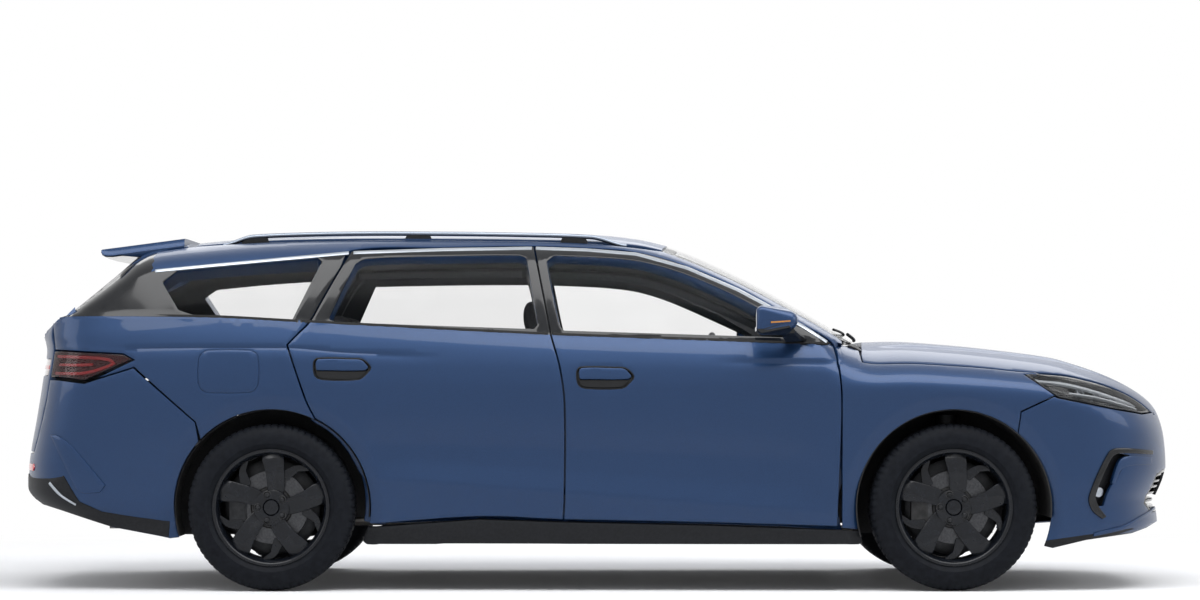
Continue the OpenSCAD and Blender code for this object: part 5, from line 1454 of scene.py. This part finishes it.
def wheel_parts():
    w = 112.5
    parts = [spin([[RIM_R + 11, w - 17.6], [RIM_R + 11, w - 13.5], [RIM_R + 7, w - 12], [RIM_R + 1,
                                                                                         w - 13.5],
                   [RIM_R - 4, w - 18], [RIM_R - 12, w - 32], [RIM_R - 18, w - 70], [RIM_R - 20, 0],
                   [RIM_R - 14, -w + 40], [RIM_R - 4, -w + 18], [RIM_R + 8, -w + 12], [RIM_R + 11,
                                                                                       -w + 17.6],
                   [RIM_R, -w + 22], [RIM_R - 0.5, -w + 34], [RIM_R - 8, -30], [RIM_R - 8, 30], [RIM_R - 0.5,
                                                                                                 w - 34],
                   [RIM_R, w - 22]], 144, 0)]
    blade = smooth([[-14, 36], [40, 36], [52, 70], [55, 130], [52, RIM_R - 14], [10, RIM_R - 5],
                    [-38, RIM_R - 8], [-37, RIM_R - 34], [-20, 130]], sharp=30, radius=5, step=14)
    hook = smooth([[48, 120], [66, 108], [110, 146], [150, 148], [162, 158], [150, 170], [100, 172],
                   [50, 150]], sharp=30, radius=4, step=12)

    def face(x, z):
        r = np.hypot(x, z)
        fold = x + 12 - 0.16 * (z - 60)
        return 98 - 24 * ramp(150, 40, r) - 12 * ramp(190, 222,
                                                      r) - 0.16 * np.abs(fold) - 0.10 * np.maximum(0, fold)

    def low_face(x, z):
        return 80 - 14 * ramp(150, 50, np.hypot(x, z)) - 0.12 * x

    one = [slab(blade, face, 40, 0.10, 0, 3.5), slab(hook, low_face, 26, 0.05, 0, 3.0)]
    for k in range(5):
        parts += [turned(q, 72 * k) for q in one]
    parts.append(spin([[0.01, 84], [24, 85], [29, 83.5], [31, 80], [31, 62], [0.01, 62]], 48, 0))
    parts.append(spin([[33, 80], [35, 82], [60, 80.5], [72, 74], [75, 60], [75, 26], [33, 26]], 72, 0))
    for k in range(5):
        t = math.radians(72 * k + 36)
        nut = spin([[0.01, 92], [7, 92], [9.5, 90], [10.5, 84], [10.5, 70], [0.01, 70]], 6, 1)
        cup = spin([[13, 80.6], [15, 81.2], [17, 80.0], [17, 70], [13, 70]], 20, 2)
        for q in (nut, cup):
            p, f, i = q
            parts.append((p + np.array([54 * math.cos(t), 0, 54 * math.sin(t)]), f, i))
    return parts


def disc_parts():
    """Brake disc with its hat, turning with the wheel."""
    parts = [spin([[84, 49], [149.4, 49.8], [150, 49], [150, 41], [149.4, 40.2], [84, 41]], 96, 3),
             spin([[84, 37.8], [149.4, 37.8], [150, 37], [150, 29], [149.4, 28.2], [84, 29]], 96, 3),
             spin([[86, 50], [88, 50], [90, 28], [72, 28], [70, 56], [82, 56]], 72, 2),
             spin([[30.5, 58], [68, 58], [71, 56], [71, 28], [30.5, 28]], 60, 2)]
    vanes = []
    for k in range(30):
        t = math.radians(12 * k)
        box = np.array([[x, y, z] for x in (92, 146) for y in (37.5, 41.2) for z in (-2, 2)], float)
        p = np.stack([box[:, 0] * math.cos(t) - box[:, 2] * math.sin(t), box[:, 1],
                      box[:, 0] * math.sin(t) + box[:, 2] * math.cos(t)], 1)
        vanes.append((p, [(0, 1, 3, 2), (4, 6, 7, 5), (0, 4, 5, 1), (2, 3, 7, 6), (0, 2, 6, 4), (1, 5, 7,
                                                                                                 3)],
                      [3] * 6))
    return parts + vanes


shield = spin([[62, 14], [64, 15.5], [120, 12], [176, 8], [194, 2], [195, 0], [192, -1], [174, 5], [120, 9],
               [64, 12]], 96, 0)
WHEEL_MATS = ["alloy_black", "forged_steel", "cast_iron", "disc_steel"]
wheel_all, disc_all, tyre_all = join_parts(wheel_parts()), join_parts(disc_parts()), tread()
for where, (ax, s) in WHEEL_AT.items():
    body = f"{where}_wheel"
    for part, name, mats, node_name, slot in (
            (wheel_all, "rim", WHEEL_MATS, f"wheel_{where}", "alloy_black"),
            (disc_all, "disc", WHEEL_MATS, f"wheel_{where}", "steel"),
            (tyre_all, "tread", ["tyre_rubber"], f"tyre_{where}", "rubber")):
        p, f, i = mirrored(part) if s < 0 else part
        add(f"{where}_{name}", [(p + np.array([ax, s * WHEEL_Y, AXLE_Z]), f, i)], mats, body, [node_name],
            slot, angle=38)
    holder = f"knuckle_{where[6:]}" if ax > 0 else "body"
    p, f, i = mirrored(shield) if s < 0 else shield
    add(f"{where}_splash_plate", [(p + np.array([ax, s * WHEEL_Y, AXLE_Z]), f, i)], ["forged_steel"], holder,
        slot="steel", angle=38)

# ---------------------------------------- mirrors
def hull_piece(balls, n=14):
    """Smooth closed shape round several balls."""
    pts = []
    for x, y, z, r in balls:
        for i in range(n):
            t = math.pi * (i + 0.5) / n
            for j in range(2 * n):
                a = math.pi * j / n
                pts.append((x + r * math.sin(t) * math.cos(a), y + r * math.sin(t) * math.sin(a),
                            z + r * math.cos(t)))
    bm = bmesh.new()
    verts = [bm.verts.new(q) for q in pts]
    bmesh.ops.convex_hull(bm, input=verts)
    bmesh.ops.delete(bm, geom=[v for v in bm.verts if not v.link_faces], context="VERTS")
    bmesh.ops.remove_doubles(bm, verts=bm.verts, dist=0.5)
    bm.verts.index_update()
    p = np.array([v.co[:] for v in bm.verts])
    f = [tuple(v.index for v in face.verts) for face in bm.faces]
    bm.free()
    return p, f, [0] * len(f)


MIRROR_BALLS = [(658, 958, 1062, 20), (655, 1030, 1072, 24), (655, 1030, 1138, 24), (660, 955, 1146, 20),
                (748, 958, 1078, 34), (762, 1000, 1104, 40), (745, 950, 1128, 30)]
cap = hull_piece(MIRROR_BALLS)
p, f, i = cap
i = [0 if (p[list(q)].mean(0)[2] > 1086 - 0.10 * (p[list(q)].mean(0)[0] - 650)) else 1 for q in f]
cap = (p, f, i)
arm = loft([np.array([[x, y, z] for x, z in ((736, 1052), (790, 1052), (794, 1062), (786, 1072), (740, 1072),
                                             (732, 1062))]) for y in (962,)] + [np.array([[x, 918, z] for x,
                                                                                          z in ((748, 1030),
                                                                                                (812, 1030),
                                                                                                (816, 1044),
                                                                                                (806, 1056),
                                                                                                (752, 1056),
                                                                                                (744,
                                                                                                 1044))]),
                                                                                np.array([[x, 846, z] for x,
                                                                                          z in ((768, 1008),
                                                                                                (858, 1008),
                                                                                                (862, 1022),
                                                                                                (852, 1034),
                                                                                                (772, 1034),
                                                                                                (764,
                                                                                                 1022))])])
glass_pts = np.array([[631, y, z] for y, z in ((948, 1058), (1030, 1062), (1040, 1078), (1040, 1136),
                                               (1028, 1148), (958, 1152), (946, 1140), (942, 1074))], float)
glass_back = glass_pts + [7, 0, 0]
mirror_face = loft([glass_pts, glass_back])
flash = loft([np.array([[x, y, z] for x, y, z in ((690, 1056, 1092), (770, 1040, 1098), (770, 1041, 1104),
                                                 (690, 1057, 1099))]),
              np.array([[x, y, z] for x, y, z in ((690, 1046, 1092), (770, 1030, 1098), (770, 1030, 1104),
                                                 (690, 1046, 1099))])])
mirror_all = join_parts([cap, recolour(arm, 1), recolour(mirror_face, 2), recolour(flash, 3)])
for side in ("left", "right"):
    q = mirrored(mirror_all) if side == "right" else mirror_all
    add(f"door_mirror_{side}", [q], ["paint", "gloss_black", "mirror_glass", "amber_lens"],
        f"{side}_front_door", [f"mirror_{side}"], "blue_paint", angle=28)

# ---------------------------------------- cowl and wipers
cowl_half = [[1146, 0], [1146, 300], [1140, 500], [1104, 640], [1060, 702], [1032, 702], [1052, 560],
             [1078, 400], [1090, 200], [1096, 0]]
cowl_loop = unique(refine(both_halves(cowl_half), 20), 1.5)
add("cowl_panel", [shell(roof_real, [cowl_loop], 10, roll=3, step=20, sink=6,
                         relief=lambda x, y: 1.5 * (np.sin(np.abs(y) / 5.0) > 0.3) * (np.abs(y) < 560))],
    ["black_plastic"], "body", ["cowl"], "black_trim")


def tube(points, radius, n=10):
    p = np.asarray(points, float)
    t = np.gradient(p, axis=0)
    t /= np.linalg.norm(t, axis=1, keepdims=True)
    up = np.array([0, 0, 1.0])
    secs = []
    for q, d in zip(p, t):
        a = np.cross(d, up)
        if np.linalg.norm(a) < 1e-3:
            a = np.array([1.0, 0, 0])
        a /= np.linalg.norm(a)
        b = np.cross(a, d)
        ang = np.linspace(0, 2 * math.pi, n + 1)[:-1]
        secs.append(q + radius * (np.cos(ang)[:, None] * a + np.sin(ang)[:, None] * b))
    return loft(secs)


wipers = []
for y0, y1 in ((560, -40), (-20, -600)):
    ys = np.linspace(y0, y1, 22)
    base = roof_real(1052 - 0.00022 * ys ** 2, ys)
    wipers.append(tube(base + [0, 0, 9], 5.5, 8))
    ya = np.linspace((y0 + y1) / 2 + 20, y0 + 30, 14)
    arm_base = roof_real(1062 - 0.00022 * ya ** 2 + 40 * ramp(-0.5, 1, (ya - ya[0]) / (ya[-1] - ya[0])), ya)
    wipers.append(tube(arm_base + [0, 0, 18], 7, 8))
add("wiper_arms", wipers, ["black_plastic"], "body", slot="black_trim", angle=50)

# ---------------------------------------- cabin
def prism(outline, y0, y1, roll=18.0, m=0, step=16, sharp=70):
    """Soft-edged block with an outline in side view, between two widths."""
    loop = smooth(outline, sharp=sharp, radius=6, step=step)
    if ring_area(loop) < 0:
        loop = loop[::-1]
    start = []
    for t in (0, 0.3, 0.6, 0.85, 1.0):
        a = t * math.pi / 2
        start.append((grow(loop, -roll * (1 - math.sin(a))), y0 + roll * (1 - math.cos(a))))
    mid = [(loop, y0 + roll + (y1 - y0 - 2 * roll) * k / 4) for k in (1, 2, 3)]
    end = [(r, y0 + y1 - y) for r, y in start[::-1]]
    secs = [np.stack([r[:, 0], 0 * r[:, 0] + y, r[:, 1]], 1) for r, y in start + mid + end]
    return recolour(loft(secs), m)


simple("seat_cloth", (0.030, 0.031, 0.035), (0.050, 0.051, 0.056), (0.8, 0.95), 320, bump=0.5, depth=0.0009,
       grain=1400)
simple("seat_panel", (0.060, 0.060, 0.064), (0.085, 0.085, 0.090), (0.55, 0.7), 120, bump=0.35, depth=0.0006,
       grain=900)



def pad(name, part, crown, mats, slots, seam=None):
    """Upholstered piece: blown up a little by cloth pressure, with its seam lines pressed in afterwards."""
    p, f, i = part
    ob = make(name, p, f, mats, i, 60)
    scene = bpy.context.scene
    bpy.context.view_layer.objects.active = ob
    even = ob.modifiers.new("even", "REMESH")
    even.mode, even.voxel_size = "VOXEL", 0.016
    dep = bpy.context.evaluated_depsgraph_get()
    me = bpy.data.meshes.new_from_object(ob.evaluated_get(dep))
    ob.modifiers.clear()
    old = ob.data
    ob.data = me
    bpy.data.meshes.remove(old)
    n = len(me.vertices)
    co = np.empty(n * 3)
    me.vertices.foreach_get("co", co)
    co = co.reshape(-1, 3)
    start = co.copy()
    cloth = ob.modifiers.new("cloth", "CLOTH")
    cloth.settings.quality = 3
    cloth.settings.mass = 0.4
    cloth.settings.tension_stiffness = cloth.settings.compression_stiffness = 14
    cloth.settings.use_pressure = True
    cloth.settings.uniform_pressure_force = 3.0
    cloth.settings.effector_weights.gravity = 0.0
    cloth.point_cache.frame_start, cloth.point_cache.frame_end = 1, 12
    for k in range(1, 13):
        scene.frame_set(k)
    dep = bpy.context.evaluated_depsgraph_get()
    ev = ob.evaluated_get(dep)
    moved = np.empty(n * 3)
    ev.data.vertices.foreach_get("co", moved)
    moved = moved.reshape(-1, 3) - start
    ob.modifiers.clear()
    scene.frame_set(1)
    size = np.linalg.norm(moved, axis=1, keepdims=True)
    moved *= np.minimum(1, crown * MM / np.maximum(size, 1e-9))
    co = start + moved
    if seam is not None:
        me.vertices.foreach_set("co", co.ravel())
        me.update()
        nor = np.empty(n * 3)
        me.vertices.foreach_get("normal", nor)
        co = co - nor.reshape(-1, 3) * seam(co / MM)[:, None] * MM
    me.vertices.foreach_set("co", co.ravel())
    me.update()
    sub = ob.modifiers.new("round", "SUBSURF")
    sub.levels = sub.render_levels = 1
    me.materials.clear()
    for m in mats:
        me.materials.append(MATERIALS[m])
    me.shade_smooth()
    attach(ob, "body")
    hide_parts(*slots)


def grooves(lines_y, lines_s, c, axis):
    """Depth of stitched channels along and across a cushion."""
    def seam(q):
        d = np.zeros(len(q))
        for y in lines_y:
            d += 5.0 * np.exp(-((np.abs(q[:, 1] - c) - y) / 5.0) ** 2)
        for s in lines_s:
            d += 4.0 * np.exp(-((q[:, axis] - s) / 6.0) ** 2) * (np.abs(q[:,
                                                                          1]
                                                                        - c) < (lines_y[0] if lines_y else 1e9))
        return d
    return seam


BACK = [[-150, 470], [-176, 480], [-262, 860], [-330, 1015], [-300, 1040], [-250, 1038], [-196, 1000],
        [-120, 720], [-78, 560], [-90, 500]]
CUSHION = [[-150, 372], [-190, 400], [-172, 470], [-96, 520], [60, 498], [250, 518], [318, 500], [334, 465],
           [322, 425], [280, 380], [180, 356]]
for side, s in (("left", 1), ("right", -1)):
    yc = 375 * s
    dx = 40
    back = prism([[x + dx, z] for x, z in BACK], yc - 244, yc + 244, 34)
    seat = prism([[x + dx, z] for x, z in CUSHION], yc - 250, yc + 250, 34)
    pad(f"seat_back_{side}", back, 12, ["seat_cloth"], ["front_seats"], grooves([140], [620, 760, 900], yc,
                                                                                2))
    pad(f"seat_cushion_{side}", seat, 12, ["seat_cloth"], ["front_seats"], grooves([150], [60, 190, 300], yc,
                                                                                   0))
    head = prism([[-342 + dx, 1050], [-362 + dx, 1120], [-352 + dx, 1185], [-310 + dx, 1195], [-282 + dx,
                                                                                               1150],
                  [-282 + dx, 1070], [-305 + dx, 1045]], yc - 128, yc + 128, 28)
    pad(f"headrest_{side}", head, 8, ["seat_cloth"], ["front_seats"])
RBACK = [[-985, 560], [-1000, 640], [-1126, 985], [-1095, 1022], [-1050, 1026], [-1005, 1000], [-905, 720],
         [-868, 600], [-900, 556]]
RSEAT = [[-960, 456], [-1000, 500], [-985, 580], [-860, 596], [-600, 572], [-420, 562], [-372, 530],
         [-366, 495], [-400, 454]]
pad("rear_seat_back", prism(RBACK, -584, 584, 34), 12, ["seat_cloth"], ["rear_seat"], grooves([190, 205],
                                                                                              [700, 830], 0,
                                                                                              2))
pad("rear_seat_cushion", prism(RSEAT, -584, 584, 34), 12, ["seat_cloth"], ["rear_seat"], grooves([190, 205],
                                                                                                 [-560,
                                                                                                  -720], 0,
                                                                                                 0))
for k, y in enumerate((-380, 0, 380)):
    head = prism([[-1132, 1035], [-1140, 1080], [-1126, 1128], [-1085, 1132], [-1058, 1100], [-1058, 1040],
                  [-1090, 1024]], y - 116, y + 116, 24)
    pad(f"rear_headrest_{k + 1}", head, 8, ["seat_cloth"], ["rear_seat"])
hard = []
for s in (1, -1):
    for y in (375 * s - 200, 375 * s + 200):
        hard.append(recolour(loft([np.array([[x, y + a, z] for a, z in ((-15, 262.6), (15, 262.6), (12, 300),
                                                                        (-12, 300))]) for x in (-160, 0, 160,
                                                                                                330)]), 1))
        hard.append(recolour(loft([np.array([[x, y + a, z] for a, z in ((-9, 300), (9, 300), (9, 372),
                                                                        (-9, 372))]) for x in (-130, 300)]),
                             1))
    for dy in (-60, 60):
        hard.append(recolour(tube([[-292, 375 * s + dy, 1010], [-300, 375 * s + dy, 1060],
                                   [-290, 375 * s + dy, 1090]], 7), 2))
    hard.append(recolour(prism([[-120, 376], [-150, 440], [-100, 478], [220, 460], [300, 420], [200, 376]],
                               375 * s - 262, 375 * s - 240, 6), 0))
    hard.append(recolour(prism([[-120, 376], [-150, 440], [-100, 478], [220, 460], [300, 420], [200, 376]],
                               375 * s + 240, 375 * s + 262, 6), 0))
add("seat_frames", hard, ["inner_trim", "forged_steel", "bright_trim"], "body", ["front_seats"],
    "black_trim", angle=40)

DASH = [[984, 935], [984, 570], [800, 560], [722, 640], [690, 700], [700, 742], [650, 800], [640, 856],
        [664, 905], [740, 940], [830, 962]]
CONSOLE = [[-250, 264], [900, 264], [900, 690], [740, 690], [640, 640], [560, 600], [120, 582], [-60, 590],
           [-190, 560], [-258, 520]]
dash = [recolour(prism(DASH, -700, 700, 22, step=20), 0), recolour(prism(CONSOLE, -100, 100, 16, step=20), 0)]
for y0, y1 in ((-690, -430), (-170, -10), (10, 170), (500, 690)):
    dash.append(recolour(prism([[650, 800], [640, 856], [652, 880], [662, 872], [654, 850], [662, 806]],
                               y0 + 6, y1 - 6, 3), 1))
dash.append(recolour(prism([[618, 812], [606, 935], [618, 940], [632, 815]], -190, 190, 4), 1))
dash.append(recolour(prism([[652, 872], [640, 940], [652, 944], [668, 880]], 230, 510, 4), 1))
dash.append(recolour(tube([[300, 0, 590], [296, 0, 640], [290, 0, 668]], 17, 16), 1))
add("dashboard_body", dash, ["inner_trim", "gloss_black"], "body", ["dashboard"], "cabin_plastic", angle=40)

# steering wheel, built flat and tipped towards the driver
ring_a = np.linspace(0, 2 * math.pi, 73)[:-1]
secs = []
for t in ring_a:
    thick = 15.5 + 1.2 * math.cos(2 * t)
    b = np.linspace(0, 2 * math.pi, 17)[:-1]
    rr = 169 + thick * np.cos(b)
    secs.append(np.stack([rr * math.cos(t), rr * math.sin(t), thick * np.sin(b)], 1))
n_ring = 16
pts = np.concatenate(secs)
faces = []
for k in range(72):
    after = (k + 1) % 72
    for j in range(n_ring):
        above = (j + 1) % n_ring
        faces.append((k * n_ring + j, after * n_ring + j, after * n_ring + above, k * n_ring + above))
wheel_ring = (pts, faces, [0] * len(faces))


def flat_piece(outline, z0, z1, m):
    loop = smooth(outline, sharp=50, radius=8, step=12)
    if ring_area(loop) < 0:
        loop = loop[::-1]
    secs = []
    for d, z in ((5, z0), (1.5, z0 + 1.5), (0, z0 + 5), (0, z1 - 5), (1.5, z1 - 1.5), (5, z1)):
        q = grow(loop, -d)
        secs.append(np.stack([q[:, 0], q[:, 1], z + 0 * q[:, 0]], 1))
    return recolour(loft(secs), m)


sw = [wheel_ring, flat_piece([[-62, -58], [62, -58], [74, 0], [60, 52], [0, 62], [-60, 52], [-74, 0]], -22,
                             22, 0), flat_piece([[60, -18], [160, -12], [160, 14], [60, 22]], -8, 8, 1),
      flat_piece([[-160, -12], [-60, -18], [-60, 22], [-160, 14]], -8, 8, 1), flat_piece([[-18, -160],
                                                                                          [18, -160],
                                                                                          [30, -50],
                                                                                          [-30, -50]], -8, 8,
                                                                                         1)]
col = tube([[0, 0, -20], [0, 0, -110], [0, 0, -330]], 24, 20)
sw.append(recolour(col, 0))
p, f, i = join_parts(sw)
# flat x is the driver's left to right, flat y is up the wheel, flat z faces the driver
t = math.radians(114)
ax_n = np.array([math.sin(t), 0, math.cos(t)])
to_driver = -ax_n if ax_n[0] > 0 else ax_n
side_axis = np.array([0, -1.0, 0])
up_axis = np.cross(to_driver, side_axis)
up_axis *= np.sign(up_axis[2])
q = np.array([430.0, 370.0, 905.0]) + p[:, :1] * side_axis + p[:, 1:2] * up_axis + p[:, 2:3] * to_driver
add("steering_wheel_rim", [(q, f, i)], ["seat_panel", "gloss_black"], "steering_wheel", ["steering_wheel"],
    "black_trim", angle=40)

# ---------------------------------------- carried-over pieces get their own finishes
simple("exhaust_steel", (0.20, 0.19, 0.18), (0.30, 0.285, 0.27), (0.35, 0.55), 18, metal=0.95, bump=0.15,
       depth=0.0006, grain=200)
FINISHES = {"floor_pan": "underbody", "arch_liners": "liner_felt", "engine": "cast_iron",
            "front_suspension": "forged_steel", "rear_axle": "forged_steel", "exhaust": "exhaust_steel",
            "knuckle_left": "cast_iron", "knuckle_right": "cast_iron"}
for name, finish in FINISHES.items():
    ob = bpy.data.objects[name]
    if not ob.material_slots:
        ob.data.materials.append(None)
    for held in ob.material_slots:
        held.material = MATERIALS[finish]

# ---------------------------------------- stage, light and camera
def maths(nt, operation, a, b):
    """Output of a maths node on two values, each an output or a number."""
    n = nt.nodes.new("ShaderNodeMath")
    n.operation = operation
    for k, value in enumerate((a, b)):
        if isinstance(value, float):
            n.inputs[k].default_value = value
        else:
            nt.links.new(value, n.inputs[k])
    return n.outputs[0]


def straight_or_mirrored(nt):
    """1 for rays from the camera, through glass or off a shiny surface."""
    path = nt.nodes.new("ShaderNodeLightPath")
    seen = maths(nt, "MAXIMUM", path.outputs["Is Camera Ray"], path.outputs["Is Transmission Ray"])
    return maths(nt, "MAXIMUM", seen, path.outputs["Is Glossy Ray"])


def white_light(nt):
    n = nt.nodes.new("ShaderNodeEmission")
    n.inputs["Color"].default_value = (1, 1, 1, 1)
    return n


def mixed(nt, fac, a, b):
    n = nt.nodes.new("ShaderNodeMixShader")
    nt.links.new(fac, n.inputs["Fac"])
    nt.links.new(a.outputs[0], n.inputs[1])
    nt.links.new(b.outputs[0], n.inputs[2])
    return n.outputs[0]


FLOOR_HALF, FLOOR_CELLS = 40.0, 48
FLOOR_LIFT, FADE_NEAR, FADE_FAR = 0.02, 2.4, 4.6


def build_floor():
    """Pale sheet that keeps the shadow near the car and gives way to the white background far from it."""
    bm = bmesh.new()
    bmesh.ops.create_grid(bm, x_segments=FLOOR_CELLS, y_segments=FLOOR_CELLS, size=FLOOR_HALF)
    me = bpy.data.meshes.new("floor")
    bm.to_mesh(me)
    bm.free()
    ob = bpy.data.objects.new("floor", me)
    bpy.context.scene.collection.objects.link(ob)
    ob.location = (0, 0, -0.001)
    m = bpy.data.materials.new("floor_sheet")
    m.use_nodes = True
    nt = m.node_tree
    s = nt.nodes["Principled BSDF"]
    tone = two_tone(nt, noise(nt, 0.6, 2), (0.82, 0.82, 0.83), (0.86, 0.86, 0.865))
    nt.links.new(tone, s.inputs["Base Color"])
    s.inputs["Roughness"].default_value = 0.9
    bright = straight_or_mirrored(nt)
    glow = white_light(nt)
    nt.links.new(maths(nt, "MULTIPLY", bright, FLOOR_LIFT), glow.inputs["Strength"])
    both = nt.nodes.new("ShaderNodeAddShader")
    nt.links.new(s.outputs[0], both.inputs[0])
    nt.links.new(glow.outputs[0], both.inputs[1])
    far = nt.nodes.new("ShaderNodeVectorMath")
    far.operation = "LENGTH"
    nt.links.new(place(nt, (0.72, 1.0, 1.0)), far.inputs[0])
    fade = nt.nodes.new("ShaderNodeMapRange")
    fade.interpolation_type = "SMOOTHSTEP"
    fade.inputs["From Min"].default_value, fade.inputs["From Max"].default_value = FADE_NEAR, FADE_FAR
    nt.links.new(far.outputs["Value"], fade.inputs["Value"])
    share = maths(nt, "MULTIPLY", fade.outputs["Result"], bright)
    nt.links.new(mixed(nt, share, both, white_light(nt)), nt.nodes["Material Output"].inputs["Surface"])
    me.materials.append(m)


def area_light(name, at, aim, size, power):
    li = bpy.data.lights.new(name, "AREA")
    li.shape = "RECTANGLE"
    li.size, li.size_y = size
    li.energy = power
    ob = bpy.data.objects.new(name, li)
    ob.location = at
    ob.rotation_euler = (Vector(aim) - Vector(at)).to_track_quat("-Z", "Y").to_euler()
    bpy.context.scene.collection.objects.link(ob)


def build_world():
    """Soft sky that lights the car, and plain white where it is seen or mirrored."""
    world = bpy.data.worlds.new("studio")
    bpy.context.scene.world = world
    world.use_nodes = True
    nt = world.node_tree
    nt.nodes.clear()
    out = nt.nodes.new("ShaderNodeOutputWorld")
    white = nt.nodes.new("ShaderNodeBackground")
    white.inputs["Color"].default_value = (1, 1, 1, 1)
    white.inputs["Strength"].default_value = 1.0
    coord = nt.nodes.new("ShaderNodeTexCoord")
    split = nt.nodes.new("ShaderNodeSeparateXYZ")
    nt.links.new(coord.outputs["Generated"], split.inputs[0])
    height = nt.nodes.new("ShaderNodeMapRange")
    height.inputs["From Min"].default_value, height.inputs["From Max"].default_value = -1, 1
    nt.links.new(split.outputs["Z"], height.inputs["Value"])
    sky = nt.nodes.new("ShaderNodeBackground")
    tone = two_tone(nt, height.outputs["Result"], (0.16, 0.17, 0.19), (0.92, 0.95, 1.0), 0.46, 0.72)
    nt.links.new(tone, sky.inputs["Color"])
    sky.inputs["Strength"].default_value = 0.55
    nt.links.new(mixed(nt, straight_or_mirrored(nt), sky, white), out.inputs["Surface"])


build_floor()
area_light("key_top", (0.5, -2.5, 5.2), (0, -0.2, 0.6), (9.0, 3.0), 380)
area_light("fill_back", (0.0, 4.5, 4.4), (0, 0.3, 0.8), (9.0, 2.6), 150)
area_light("nose_light", (7.5, -2.0, 3.2), (1.5, 0, 0.7), (3.5, 3.5), 90)
area_light("tail_light", (-7.5, -2.0, 3.0), (-1.5, 0, 0.8), (3.5, 3.5), 70)
build_world()

# at the height of the door handles, 15.5 m from the car's middle, looking up by TILT degrees
LENS, EYE = 107.3, (-0.030, -15.522, 0.870)
TILT, PAN = 1.2492, -0.1121
cam = bpy.data.cameras.new("camera")
cam.lens, cam.sensor_width = LENS, 36.0
cam.clip_end = 200
eye = bpy.data.objects.new("camera", cam)
bpy.context.scene.collection.objects.link(eye)
eye.location = EYE
eye.rotation_euler = (math.radians(90 + TILT), 0, math.radians(PAN))
bpy.context.scene.camera = eye
bpy.context.scene.view_settings.view_transform = "Standard"
bpy.context.scene.cycles.transparent_max_bounces = 32
